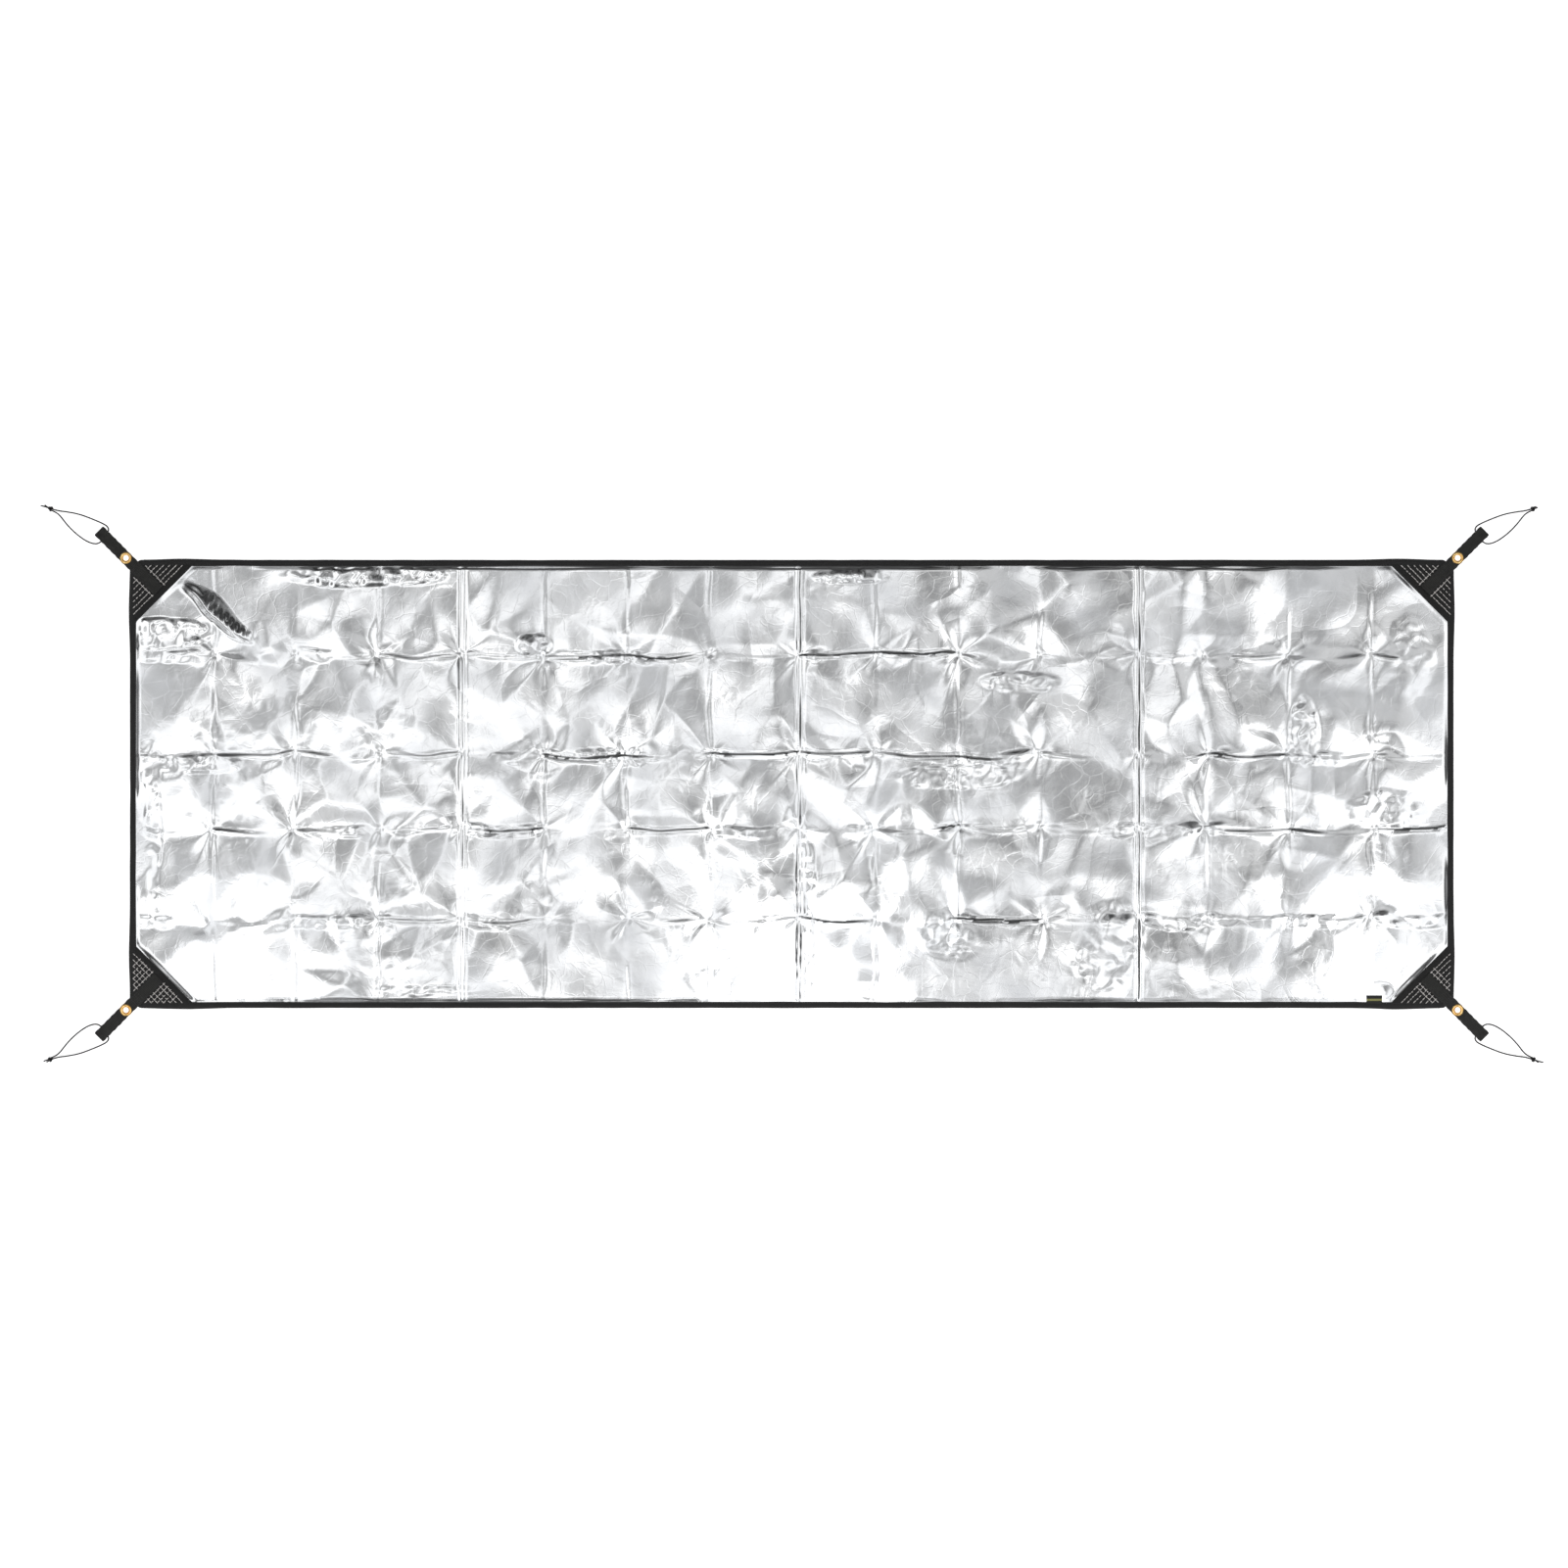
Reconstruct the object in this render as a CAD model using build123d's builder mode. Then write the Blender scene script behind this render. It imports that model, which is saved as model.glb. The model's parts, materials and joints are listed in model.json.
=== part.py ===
from build123d import *
import os
from math import pi, radians, sqrt, tan

# Foil-faced foam sleeping pad, in millimetres. Origin: middle of the underside.
# +X runs along the length, +Y across the pad to its back edge, +Z up.

# Pad
pad_length = 1950.0
pad_width = 660.0
film_thickness = 0.25
foam_thickness = 3.0
backing_thickness = 0.35
corner_cut = 14.0  # leg of the chamfer hidden under each corner strap

# Edge binding: a tape folded round the rim of the foam
tape_thickness = 0.6
tape_width = 9.0
end_wrap = 20.0  # how far the two end tapes reach along the sides

# Cross folds: places along the length, measured from the middle
fold_share = (-0.250, 0.005, 0.261)
fold_gap = 0.5
valley_rise = 6.0  # fold axis above the film
mountain_drop = 2.0  # fold axis below the backing

# Corner patch: a right-angled triangle of coated fabric
patch_leg = 100.0
patch_thickness = 0.5
hem_width = 8.0
hem_thickness = 0.5

# Corner strap: webbing sewn on the patch, folded back on itself beyond the pad
web_width = 18.0
web_thickness = 1.2
strap_shift = 1.4  # strap centreline beside the true corner, along X and Y
strap_reach = 63.5  # free end beyond the corner
hinge_inset = 6.2  # flexing line, this far inside the corner
hinge_gap = 1.2  # from the flexing line to the free length
sewn_gap = 1.4  # from the flexing line to the sewn length
sewn_margin = 1.0

# Grommet clamped through both layers of webbing
grommet_out = 6.2
grommet_bore = 8.4
grommet_flange = 17.0
barrel_wall = 0.55
flange_thickness = 0.6
washer_thickness = 0.5
lip_thickness = 0.5
lip_width = 2.1
barrel_clearance = 0.1
layer_split = 0.6  # webbing layers part this far beyond the flange
layer_ramp = 10.0
cut_margin = 1.1  # webbing left behind the flange, at its cut end

# Guy cord loop and its knot
cord_diameter = 2.0
knot_diameter = 8.8
knot_height = 6.2
knot_round = 2.6
knot_place = (136.3, -27.4)
tail_height = 1.15
tail_turns = (-28.0, -12.0)  # headings of the two cut tails, in degrees from the strap

# Sewing and label
stitch_length = 3.0
stitch_width = 0.7
stitch_height = 0.25
stitch_pitch = 4.2
stitch_inset = 2.2
label_width = 23.0
label_drop = 9.5
label_thickness = 0.8
label_inset = 117.0  # from the right end to the middle of the label

pad_thickness = backing_thickness + foam_thickness + film_thickness
foam_top = backing_thickness + foam_thickness
rim_top = pad_thickness - tape_thickness
patch_top = pad_thickness + patch_thickness
web_top = patch_top + web_thickness
clamp_bottom = patch_top - web_thickness
folds = [share * pad_length for share in fold_share]

panels = ["left_end", "left_middle", "right_middle", "right_end"]
sides = {"back": 1, "front": -1}
ends = {"left": -1, "right": 1}

# Route of one cord loop, from its knot, through the webbing fold and back to the knot:
# along the strap from the corner, across the strap, and height above the ground.
cord_route = [
    (134.2, -26.0, 2.8),
    (126.0, -21.6, 1.6),
    (117.5, -14.6, 1.15),
    (101.0, -3.2, 1.1),
    (82.0, 5.4, 1.1),
    (67.5, 11.2, 1.3),
    (58.6, 13.6, 1.9),
    (52.9, 11.0, 2.55),
    (51.7, 3.6, 2.65),
    (50.2, -3.4, 2.65),
    (49.3, -9.8, 2.6),
    (51.2, -15.8, 2.0),
    (58.3, -21.4, 1.3),
    (70.0, -25.2, 1.1),
    (87.7, -27.4, 1.1),
    (105.0, -26.9, 1.1),
    (117.5, -25.0, 1.15),
    (126.5, -25.2, 1.6),
    (134.0, -28.4, 2.8),
]
cord_pivot = (50.9, 0.0, 2.65)  # where the cord crosses the middle of the webbing fold
cord_skew = 0.17  # run along the strap for each unit across it
tail_lengths = {
    "back_left": (16.0, 11.0),
    "back_right": (8.0, 6.5),
    "front_left": (11.5, 8.0),
    "front_right": (16.5, 10.0),
}

os.makedirs("parts", exist_ok=True)


def save(piece, node):
    piece.part.label = node
    export_step(piece.part, f"parts/{node}.step")


def panel_span(index):
    """Low and high X of one panel, with half a gap left at each fold."""
    low = -pad_length / 2 if index == 0 else folds[index - 1] + fold_gap / 2
    high = pad_length / 2 if index == 3 else folds[index] - fold_gap / 2
    return low, high


def outline(inset, low, high):
    """Pad outline with its corners cut off, inset from the edge, between two X values."""
    with BuildSketch() as shape:
        Rectangle(pad_length, pad_width)
        chamfer(shape.vertices(), length=corner_cut)
        if inset > 0:
            offset(amount=-inset, kind=Kind.INTERSECTION)
        with Locations(((low + high) / 2, 0)):
            Rectangle(high - low, 2 * pad_width, mode=Mode.INTERSECT)
    return shape.sketch


def plate(shape, bottom, top):
    """A flat sheet of the given outline between two heights."""
    with BuildPart() as sheet:
        with BuildSketch(Plane.XY.offset(bottom)):
            add(shape)
        extrude(amount=top - bottom)
    return sheet.part


def corner_plane(end, side, height=0.0):
    """Plane at a corner: local X runs out along the strap, local Z is up."""
    place = (end * (pad_length / 2 + strap_shift), side * (pad_width / 2 - strap_shift), height)
    return Plane(origin=place, x_dir=(end, side, 0), z_dir=(0, 0, 1))


def strap_section(end, side):
    """Upright plane along a strap: local X runs out along it, local Y is up."""
    flat = corner_plane(end, side)
    return Plane(origin=flat.origin, x_dir=flat.x_dir, z_dir=flat.x_dir.cross(Vector(0, 0, 1)))


# Pad layers, one set to each panel: backing, foam and metallised film
for index, panel in enumerate(panels):
    low, high = panel_span(index)
    inner = outline(tape_width, low, high)
    with BuildPart() as film:
        add(plate(inner, foam_top, pad_thickness))
    save(film, f"film_{panel}")
    with BuildPart() as foam:
        add(plate(inner, backing_thickness, foam_top))
        add(plate(outline(tape_thickness, low, high), tape_thickness, rim_top))
    save(foam, f"foam_{panel}")
    with BuildPart() as backing:
        add(plate(inner, 0, backing_thickness))
    save(backing, f"backing_{panel}")


def tape_ring(low, high):
    """Binding tape round the rim between two X values: a U section, open to the foam."""
    with BuildPart() as ring:
        add(plate(outline(0, low, high), 0, pad_thickness))
        add(plate(outline(tape_width, low, high), -pad_thickness, 2 * pad_thickness), mode=Mode.SUBTRACT)
        add(plate(outline(tape_thickness, low, high), tape_thickness, rim_top), mode=Mode.SUBTRACT)
    return ring.part


# Binding tape: a long piece on each side of each panel, and one round each end
wrap_start = pad_length / 2 - end_wrap
for index, panel in enumerate(panels):
    low, high = panel_span(index)
    ring = tape_ring(max(low, -wrap_start), min(high, wrap_start))
    for side_name, side in sides.items():
        with BuildPart() as tape:
            add(ring)
            split(bisect_by=Plane.XZ, keep=Keep.BOTTOM if side > 0 else Keep.TOP)
        save(tape, f"binding_{side_name}_{panel}")

for end_name, end in ends.items():
    near, far = sorted((end * wrap_start, end * pad_length))
    with BuildPart() as end_tape:
        add(tape_ring(near, far))
    save(end_tape, f"binding_{end_name}_edge")

# Heights and places along a strap that its pieces share
fold_radius = web_top / 2
fold_centre = strap_reach - fold_radius
flange_edge = grommet_out + grommet_flange / 2
split_start = flange_edge + layer_split
split_end = split_start + layer_ramp
cut_end = grommet_out - grommet_flange / 2 - cut_margin
hem_distance = patch_leg / sqrt(2) - hem_width
sewn_end = -(hem_distance - sewn_margin)
sewn_start = -hinge_inset - sewn_gap
tab_start = -hinge_inset + hinge_gap
lower_top = web_thickness
bore_radius = grommet_bore / 2
barrel_radius = bore_radius + barrel_wall
flange_radius = grommet_flange / 2
eyelet_top = web_top + flange_thickness
washer_bottom = clamp_bottom - washer_thickness
lip_bottom = washer_bottom - lip_thickness

for end_name, end in ends.items():
    for side_name, side in sides.items():
        corner = f"{side_name}_{end_name}"
        hand = end * side
        flat = corner_plane(end, side)
        section = strap_section(end, side)
        square_x = end * (pad_length / 2 - tape_width)
        square_y = side * (pad_width / 2 - tape_width)
        leg = patch_leg - tape_width

        # Patch, with its long edge turned under into a doubled hem
        with BuildPart() as patch:
            with BuildSketch(Plane.XY.offset(pad_thickness)):
                with BuildLine():
                    Polyline(
                        (square_x, square_y),
                        (square_x - end * leg, square_y),
                        (square_x, square_y - side * leg),
                        close=True,
                    )
                make_face()
                add(outline(tape_width, -pad_length, pad_length), mode=Mode.INTERSECT)
            extrude(amount=patch_thickness)
            with BuildSketch(Plane.XY.offset(patch_top)):
                with BuildLine():
                    Polyline(
                        (square_x - end * leg, square_y),
                        (square_x, square_y - side * leg),
                        (square_x, square_y - side * (leg - hem_width * sqrt(2))),
                        (square_x - end * (leg - hem_width * sqrt(2)), square_y),
                        close=True,
                    )
                make_face()
            extrude(amount=hem_thickness)
        save(patch, f"patch_{corner}")

        # Sewn length of the strap, on top of the patch
        with BuildPart() as strap:
            with BuildSketch(corner_plane(end, side, patch_top)):
                with Locations(((sewn_end + sewn_start) / 2, 0)):
                    Rectangle(sewn_start - sewn_end, web_width)
            extrude(amount=web_thickness)
        save(strap, f"strap_{corner}")

        # Free length of the strap: folded back, open at the end for the cord
        with BuildPart() as tab:
            with BuildSketch(section):
                with BuildLine():
                    Polyline((tab_start, patch_top), (tab_start, web_top), (fold_centre, web_top))
                    ThreePointArc(
                        (fold_centre, web_top),
                        (fold_centre + fold_radius, web_top / 2),
                        (fold_centre, 0),
                    )
                    Polyline(
                        (fold_centre, 0),
                        (split_end, 0),
                        (split_start, clamp_bottom),
                        (cut_end, clamp_bottom),
                        (cut_end, patch_top),
                        (tab_start, patch_top),
                    )
                make_face()
                with BuildLine():
                    Polyline((fold_centre, patch_top), (split_start, patch_top), (split_end, lower_top))
                    Line((split_end, lower_top), (fold_centre, lower_top))
                    ThreePointArc(
                        (fold_centre, lower_top),
                        (fold_centre + fold_radius - web_thickness, web_top / 2),
                        (fold_centre, patch_top),
                    )
                make_face(mode=Mode.SUBTRACT)
            extrude(amount=web_width / 2, both=True)
            with BuildSketch(flat):
                with Locations((grommet_out, 0)):
                    Circle(barrel_radius + barrel_clearance)
            extrude(amount=2 * web_top, mode=Mode.SUBTRACT)
        save(tab, f"tab_{corner}")

        # Eyelet: flange, barrel and rolled lip, turned in one piece
        grommet_axis = corner_plane(end, side).shift_origin(flat.from_local_coords((grommet_out, 0, 0)))
        turning = Plane(
            origin=grommet_axis.origin,
            x_dir=flat.x_dir,
            z_dir=flat.x_dir.cross(Vector(0, 0, 1)),
        )
        with BuildPart() as eyelet:
            with BuildSketch(turning):
                with BuildLine():
                    Polyline(
                        (bore_radius, lip_bottom),
                        (bore_radius, eyelet_top),
                        (flange_radius - flange_thickness, eyelet_top),
                        (flange_radius, web_top),
                        (barrel_radius, web_top),
                        (barrel_radius, washer_bottom),
                        (bore_radius + lip_width, washer_bottom),
                        (bore_radius + lip_width - lip_thickness / 2, lip_bottom),
                        close=True,
                    )
                make_face()
            revolve(axis=Axis(grommet_axis.origin, (0, 0, 1)))
        save(eyelet, f"eyelet_{corner}")

        # Washer under the webbing, held by the lip
        with BuildPart() as washer:
            with BuildSketch(grommet_axis.offset(washer_bottom)):
                Circle(flange_radius)
                Circle(barrel_radius + barrel_clearance, mode=Mode.SUBTRACT)
            extrude(amount=washer_thickness)
            outer_rims = washer.edges().filter_by(GeomType.CIRCLE).group_by(SortBy.RADIUS)[-1]
            chamfer(outer_rims.sort_by(Axis.Z)[:1], length=washer_thickness / 2)
        save(washer, f"washer_{corner}")

        # Thread: two rows along the sewn strap and a bar at each end of them
        row_length = sewn_start - sewn_end - 4 * stitch_inset
        row_count = int(row_length / stitch_pitch) + 1
        row_middle = (sewn_start + sewn_end) / 2
        bar_spread = web_width - 2 * stitch_inset
        with BuildPart() as stitching:
            with BuildSketch(corner_plane(end, side, web_top)):
                with Locations((row_middle, 0)):
                    with GridLocations(stitch_pitch, bar_spread, row_count, 2):
                        Rectangle(stitch_length, stitch_width)
                    with GridLocations(row_length + stitch_pitch, stitch_pitch, 2, 3):
                        Rectangle(stitch_width, stitch_length)
            extrude(amount=stitch_height)
        save(stitching, f"stitching_{corner}")

        # Cord loop: straight runs with the largest arcs that they allow
        points = [(x, hand * y, z) for x, y, z in cord_route]
        runs = [Vector(after) - Vector(before) for before, after in zip(points, points[1:])]
        radii = []
        for first, second in zip(runs, runs[1:]):
            half_turn = radians(first.get_angle(second)) / 2
            radii.append(0.45 * min(first.length, second.length) / tan(half_turn))
        with BuildPart() as cord:
            with BuildLine(flat) as route:
                FilletPolyline(*points, radius=radii)
            path = route.wires()[0]
            with BuildSketch(Plane(origin=path @ 0, z_dir=path % 0)):
                Circle(cord_diameter / 2)
            sweep(path=path)
        save(cord, f"cord_{corner}")
        expected = pi * (cord_diameter / 2) ** 2 * path.length
        print(corner, "cord length", round(path.length, 1), "radii", [round(r, 1) for r in radii])
        print(corner, "cord volume against section times length", round(cord.part.volume / expected, 4))

        # Knot: a rounded body with the cord's two cut tails lying beside it
        knot_x, knot_y = knot_place
        with BuildPart() as knot:
            with BuildSketch(flat):
                with Locations((knot_x, hand * knot_y)):
                    Circle(knot_diameter / 2)
            extrude(amount=knot_height)
            fillet(knot.edges(), radius=knot_round)
            for turn, reach in zip(tail_turns, tail_lengths[corner]):
                heading = flat.x_dir.rotate(Axis.Z, hand * turn)
                start = flat.from_local_coords((knot_x, hand * knot_y, tail_height))
                with BuildSketch(Plane(origin=start, z_dir=heading)):
                    Circle(cord_diameter / 2)
                extrude(amount=reach)
        save(knot, f"knot_{corner}")

# Label: a folded tag sewn in under the front binding
with BuildPart() as label:
    with BuildSketch(Plane.XY.offset(pad_thickness)):
        with Locations((pad_length / 2 - label_inset, label_drop / 2 + tape_width - pad_width / 2)):
            Rectangle(label_width, label_drop)
    extrude(amount=label_thickness)
    fillet(label.edges().filter_by(Axis.X).group_by(Axis.Y)[-1], radius=0.45 * label_thickness)
save(label, "label")

# Places that the record states, for whoever fastens something to the pad
print("fold lines", [round(x, 2) for x in folds])
print("valley axis height", pad_thickness + valley_rise, "mountain axis height", -mountain_drop)
for end_name, end in ends.items():
    for side_name, side in sides.items():
        flat = corner_plane(end, side)
        hand = end * side
        places = {
            "grommet": (grommet_out, 0, (eyelet_top + lip_bottom) / 2),
            "strap hinge": (-hinge_inset, 0, patch_top + web_thickness / 2),
            "cord hinge": cord_pivot,
            "cord hinge heading": (cord_pivot[0] + cord_skew, hand, cord_pivot[2]),
            "knot": (knot_place[0], hand * knot_place[1], knot_height / 2),
        }
        for name, place in places.items():
            at = flat.from_local_coords(place)
            print(side_name, end_name, name, [round(value, 3) for value in at])
print("bore length", round(eyelet_top - lip_bottom, 3), "pad thickness", pad_thickness)
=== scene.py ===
import json
import math
import random
from functools import partial

import bmesh
import bpy
import numpy as np
from mathutils import Matrix, Vector
from mathutils.geometry import delaunay_2d_cdt


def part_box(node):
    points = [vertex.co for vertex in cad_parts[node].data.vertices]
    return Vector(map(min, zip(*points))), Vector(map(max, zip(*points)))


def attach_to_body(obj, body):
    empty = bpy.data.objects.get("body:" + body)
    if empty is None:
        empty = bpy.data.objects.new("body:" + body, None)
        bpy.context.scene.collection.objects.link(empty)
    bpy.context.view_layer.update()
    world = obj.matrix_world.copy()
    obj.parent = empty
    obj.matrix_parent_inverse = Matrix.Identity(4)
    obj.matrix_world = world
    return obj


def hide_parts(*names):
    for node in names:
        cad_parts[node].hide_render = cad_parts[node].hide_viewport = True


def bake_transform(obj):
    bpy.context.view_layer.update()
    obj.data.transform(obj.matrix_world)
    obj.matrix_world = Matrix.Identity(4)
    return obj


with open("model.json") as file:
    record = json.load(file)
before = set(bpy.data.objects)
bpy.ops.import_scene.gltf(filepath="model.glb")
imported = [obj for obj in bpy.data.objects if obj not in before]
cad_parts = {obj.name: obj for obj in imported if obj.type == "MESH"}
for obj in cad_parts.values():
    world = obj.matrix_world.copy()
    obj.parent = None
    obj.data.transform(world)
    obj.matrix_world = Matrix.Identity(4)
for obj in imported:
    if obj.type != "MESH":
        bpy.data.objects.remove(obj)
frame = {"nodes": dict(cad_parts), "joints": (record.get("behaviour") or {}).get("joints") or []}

for leftover in ("Cube", "Camera", "Light"):
    if leftover in bpy.data.objects:
        bpy.data.objects.remove(bpy.data.objects[leftover])
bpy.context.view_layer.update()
mm = 0.001
joints = {joint["name"]: joint for joint in frame["joints"]}
foldX = {name: joints[name]["pos_m"][0] / mm for name in ("fold_left", "fold_middle", "fold_right")}

# pad sizes in millimetres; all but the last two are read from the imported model
halfLength, halfWidth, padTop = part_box("binding_right_edge")[1] / mm
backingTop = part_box("backing_left_end")[1].z / mm
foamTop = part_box("film_left_end")[0].z / mm
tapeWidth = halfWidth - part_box("film_left_end")[1].y / mm
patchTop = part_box("strap_back_left")[0].z / mm
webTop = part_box("strap_back_left")[1].z / mm
cornerCut = 14.0  # chamfer of the pad's corners, under the straps
patchLeg = 100.0

# The long layers are cut in three along their length, so that each piece holds one fold.
# Each cut lies on a crease of the film, between two folds.
cutX = (-0.125 * 2 * halfLength, 0.1266 * 2 * halfLength)
spans = [
    ("left", -halfLength, cutX[0], "fold_left", ("left_end_panel", "left_middle_panel")),
    ("middle", cutX[0], cutX[1], "fold_middle", ("left_middle_panel", "right_middle_panel")),
    ("right", cutX[1], halfLength, "fold_right", ("right_middle_panel", "right_end_panel")),
]
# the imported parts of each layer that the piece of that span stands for
standsFor = {"left": ("left_end",), "middle": ("left_middle", "right_middle"), "right": ("right_end",)}
foldReach = {"fold_left": 12.25, "fold_middle": 6.0, "fold_right": 12.25}  # half the length that turns
print("frame loaded, pad", round(2 * halfLength), "by", round(2 * halfWidth), "mm")


# materials

def linear(hexColour):
    parts = [int(hexColour[i:i + 2], 16) / 255 for i in (1, 3, 5)]
    return tuple(c / 12.92 if c <= 0.04045 else ((c + 0.055) / 1.055) ** 2.4 for c in parts) + (1.0,)


def addNode(tree, kind, inputs=None, stops=(), **settings):
    # one node with its settings, and its stops if it is a colour ramp;
    # each input gets a value, or a link from the socket given
    node = tree.nodes.new(kind)
    for key, value in settings.items():
        setattr(node, key, value)
    for key, value in (inputs or {}).items():
        if isinstance(value, bpy.types.NodeSocket):
            tree.links.new(value, node.inputs[key])
        else:
            node.inputs[key].default_value = value
    for index, (place, colour) in enumerate(stops):
        elements = node.color_ramp.elements
        element = elements[index] if index < len(elements) else elements.new(place)
        element.position = place
        element.color = linear(colour) if isinstance(colour, str) else (colour, colour, colour, 1)
    return node


def newMaterial(name, **shader):
    # returns the material, what adds a node to it, and its surface shader
    material = bpy.data.materials.new(name)
    material.use_nodes = True
    principled = material.node_tree.nodes["Principled BSDF"]
    for key, value in shader.items():
        principled.inputs[key.replace("_", " ")].default_value = value
    return material, partial(addNode, material.node_tree), principled


def link(shader, **sockets):
    for key, socket in sockets.items():
        shader.id_data.links.new(socket, shader.inputs[key.replace("_", " ")])


def dress(add, shader, tone, colours, height, strength, depth):
    # colours run over the tone; depth is that of the relief in millimetres
    colour = add("ShaderNodeValToRGB", {"Fac": tone}, colours)
    bump = add("ShaderNodeBump", {"Height": height, "Strength": strength, "Distance": depth * mm})
    link(shader, Base_Color=colour.outputs["Color"], Normal=bump.outputs["Normal"])


def perMetre(size):
    return 1 / (size * mm)  # texture scale for a pattern of that size in millimetres


def wavesPerMetre(size):
    return perMetre(size) * math.tau / 20  # the same for bands of the wave texture


def filmMaterial():
    # Vacuum-aluminised polyester film: a mirror with a faint milky haze and very fine creasing
    material, add, shader = newMaterial("aluminisedPolyesterFilm", Metallic=1.0)
    place = add("ShaderNodeTexCoord").outputs["Object"]
    haze = add("ShaderNodeTexNoise", {"Vector": place, "Scale": perMetre(90), "Detail": 4.0}).outputs["Fac"]
    shine = add("ShaderNodeMapRange", {"Value": haze, "From Min": 0.3, "From Max": 0.7, "To Min": 0.05, "To Max": 0.17})
    cloudy = add("ShaderNodeValToRGB", {"Fac": haze}, [(0.3, "#f4f5f6"), (0.7, "#e3e5e8")])
    # hairline creases about 26 mm apart, and a finer leathery wrinkle of 14 mm and less
    bent = add("ShaderNodeTexNoise", {"Vector": place, "Scale": perMetre(40), "Detail": 2.0})
    warp = add("ShaderNodeVectorMath", {0: bent.outputs["Color"], 1: (0.02, 0.02, 0.02)}, operation="MULTIPLY")
    warped = add("ShaderNodeVectorMath", {0: place, 1: warp.outputs["Vector"]}, operation="ADD")
    cells = add("ShaderNodeTexVoronoi", {"Vector": warped.outputs["Vector"], "Scale": perMetre(26)},
                feature="DISTANCE_TO_EDGE")
    crease = add("ShaderNodeMapRange", {"Value": cells.outputs["Distance"], "From Max": 0.035})
    fine = add("ShaderNodeTexNoise", {"Vector": place, "Scale": perMetre(14), "Detail": 5.0, "Roughness": 0.55})
    # sharp-edged crumpling, folded where the noise crosses its middle
    folds = add("ShaderNodeTexNoise", {"Vector": place, "Scale": perMetre(110), "Detail": 0.6, "Roughness": 0.4,
                                       "Distortion": 0.6})
    centred = add("ShaderNodeMath", {0: folds.outputs["Fac"], 1: 0.5}, operation="SUBTRACT")
    creased = add("ShaderNodeMath", {0: centred.outputs[0]}, operation="ABSOLUTE")
    bump = add("ShaderNodeBump", {"Height": crease.outputs["Result"], "Strength": 0.12, "Distance": 0.15 * mm})
    for height, strength, depth in ((fine.outputs["Fac"], 0.5, 0.22), (creased.outputs[0], 1.0, 1.4)):
        bump = add("ShaderNodeBump", {"Height": height, "Strength": strength, "Distance": depth * mm,
                                      "Normal": bump.outputs["Normal"]})
    link(shader, Base_Color=cloudy.outputs["Color"], Roughness=shine.outputs["Result"], Normal=bump.outputs["Normal"])
    return material


def clothMaterial(name, dark, pale, threads, depth, rough, sheen, coordinates="Object"):
    # A plain weave: two crossed sets of rounded threads, each thread painted a little lighter on its crown as a
    # highlight and darker between threads as shade.
    # threads is the spacing in millimetres along the two directions; it is drawn about three times as coarse
    # as the real weave, so that it shows.
    material, add, shader = newMaterial(name, Roughness=rough, Sheen_Weight=sheen, Sheen_Roughness=0.4)
    place = add("ShaderNodeTexCoord").outputs[coordinates]
    waves = [add("ShaderNodeTexWave", {"Vector": place, "Scale": wavesPerMetre(size), "Distortion": 0.6, "Detail": 1.0,
                                       "Detail Scale": 3.0}, bands_direction=direction).outputs["Fac"]
             for direction, size in zip("XY", threads)]
    weave = add("ShaderNodeMath", {0: waves[0], 1: waves[1]}, operation="MAXIMUM").outputs[0]
    wear = add("ShaderNodeTexNoise", {"Vector": place, "Scale": perMetre(14), "Detail": 3.0})
    # colour: painted highlight on the thread crowns and painted shade between them, varied by a random tone of wear
    paintedShadeAndTone = add("ShaderNodeMath", {0: weave, 1: wear.outputs["Fac"]}, operation="MULTIPLY").outputs[0]
    dress(add, shader, paintedShadeAndTone, [(0.12, dark), (0.75, pale)], weave, 0.8, depth)
    return material


def foamMaterial():
    # Closed-cell polyethylene foam: matt, with a skin of cells about 1 mm across, the hollow of each cell painted
    # darker as shade
    material, add, shader = newMaterial("crosslinkedPolyethyleneFoam", Roughness=0.85)
    place = add("ShaderNodeTexCoord").outputs["Object"]
    cells = add("ShaderNodeTexVoronoi", {"Vector": place, "Scale": perMetre(1.1)}).outputs["Distance"]
    # the hollow of each cell is painted darker as shade, following the bump
    dress(add, shader, cells, [(0.0, "#5c5f62"), (0.7, "#84878a")], cells, 0.5, 0.2)
    return material


def threadMaterial(name, dark, pale, twist):
    # Spun polyester thread: a soft lustre, and a twist whose shade and highlight are painted into its colour along its
    # length
    material, add, shader = newMaterial(name, Roughness=0.6, Sheen_Weight=0.25, Sheen_Roughness=0.4)
    place = add("ShaderNodeTexCoord").outputs["Object"]
    strand = add("ShaderNodeTexWave", {"Vector": place, "Scale": wavesPerMetre(twist), "Distortion": 1.5},
                 bands_direction="DIAGONAL").outputs["Fac"]
    tone = add("ShaderNodeTexNoise", {"Vector": place, "Scale": perMetre(9), "Detail": 2.0})
    # colour: painted shade in the grooves of the twist and painted highlight on its strands, varied by a random tone
    paintedShadeAndTone = add("ShaderNodeMath", {0: strand, 1: tone.outputs["Fac"]}, operation="MULTIPLY").outputs[0]
    dress(add, shader, paintedShadeAndTone, [(0.1, dark), (0.6, pale)], strand, 0.5, 0.1)
    return material


def brassMaterial(name, deep, bright, rough):
    # Pressed brass sheet: tumbled, with a light tarnish in patches
    material, add, shader = newMaterial(name, Metallic=1.0, Roughness=rough)
    place = add("ShaderNodeTexCoord").outputs["Object"]
    stain = add("ShaderNodeTexNoise", {"Vector": place, "Scale": perMetre(5), "Detail": 5.0}).outputs["Fac"]
    grit = add("ShaderNodeTexNoise", {"Vector": place, "Scale": perMetre(0.5), "Detail": 2.0}).outputs["Fac"]
    dress(add, shader, stain, [(0.3, deep), (0.7, bright)], grit, 0.25, 0.05)
    return material


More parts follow.
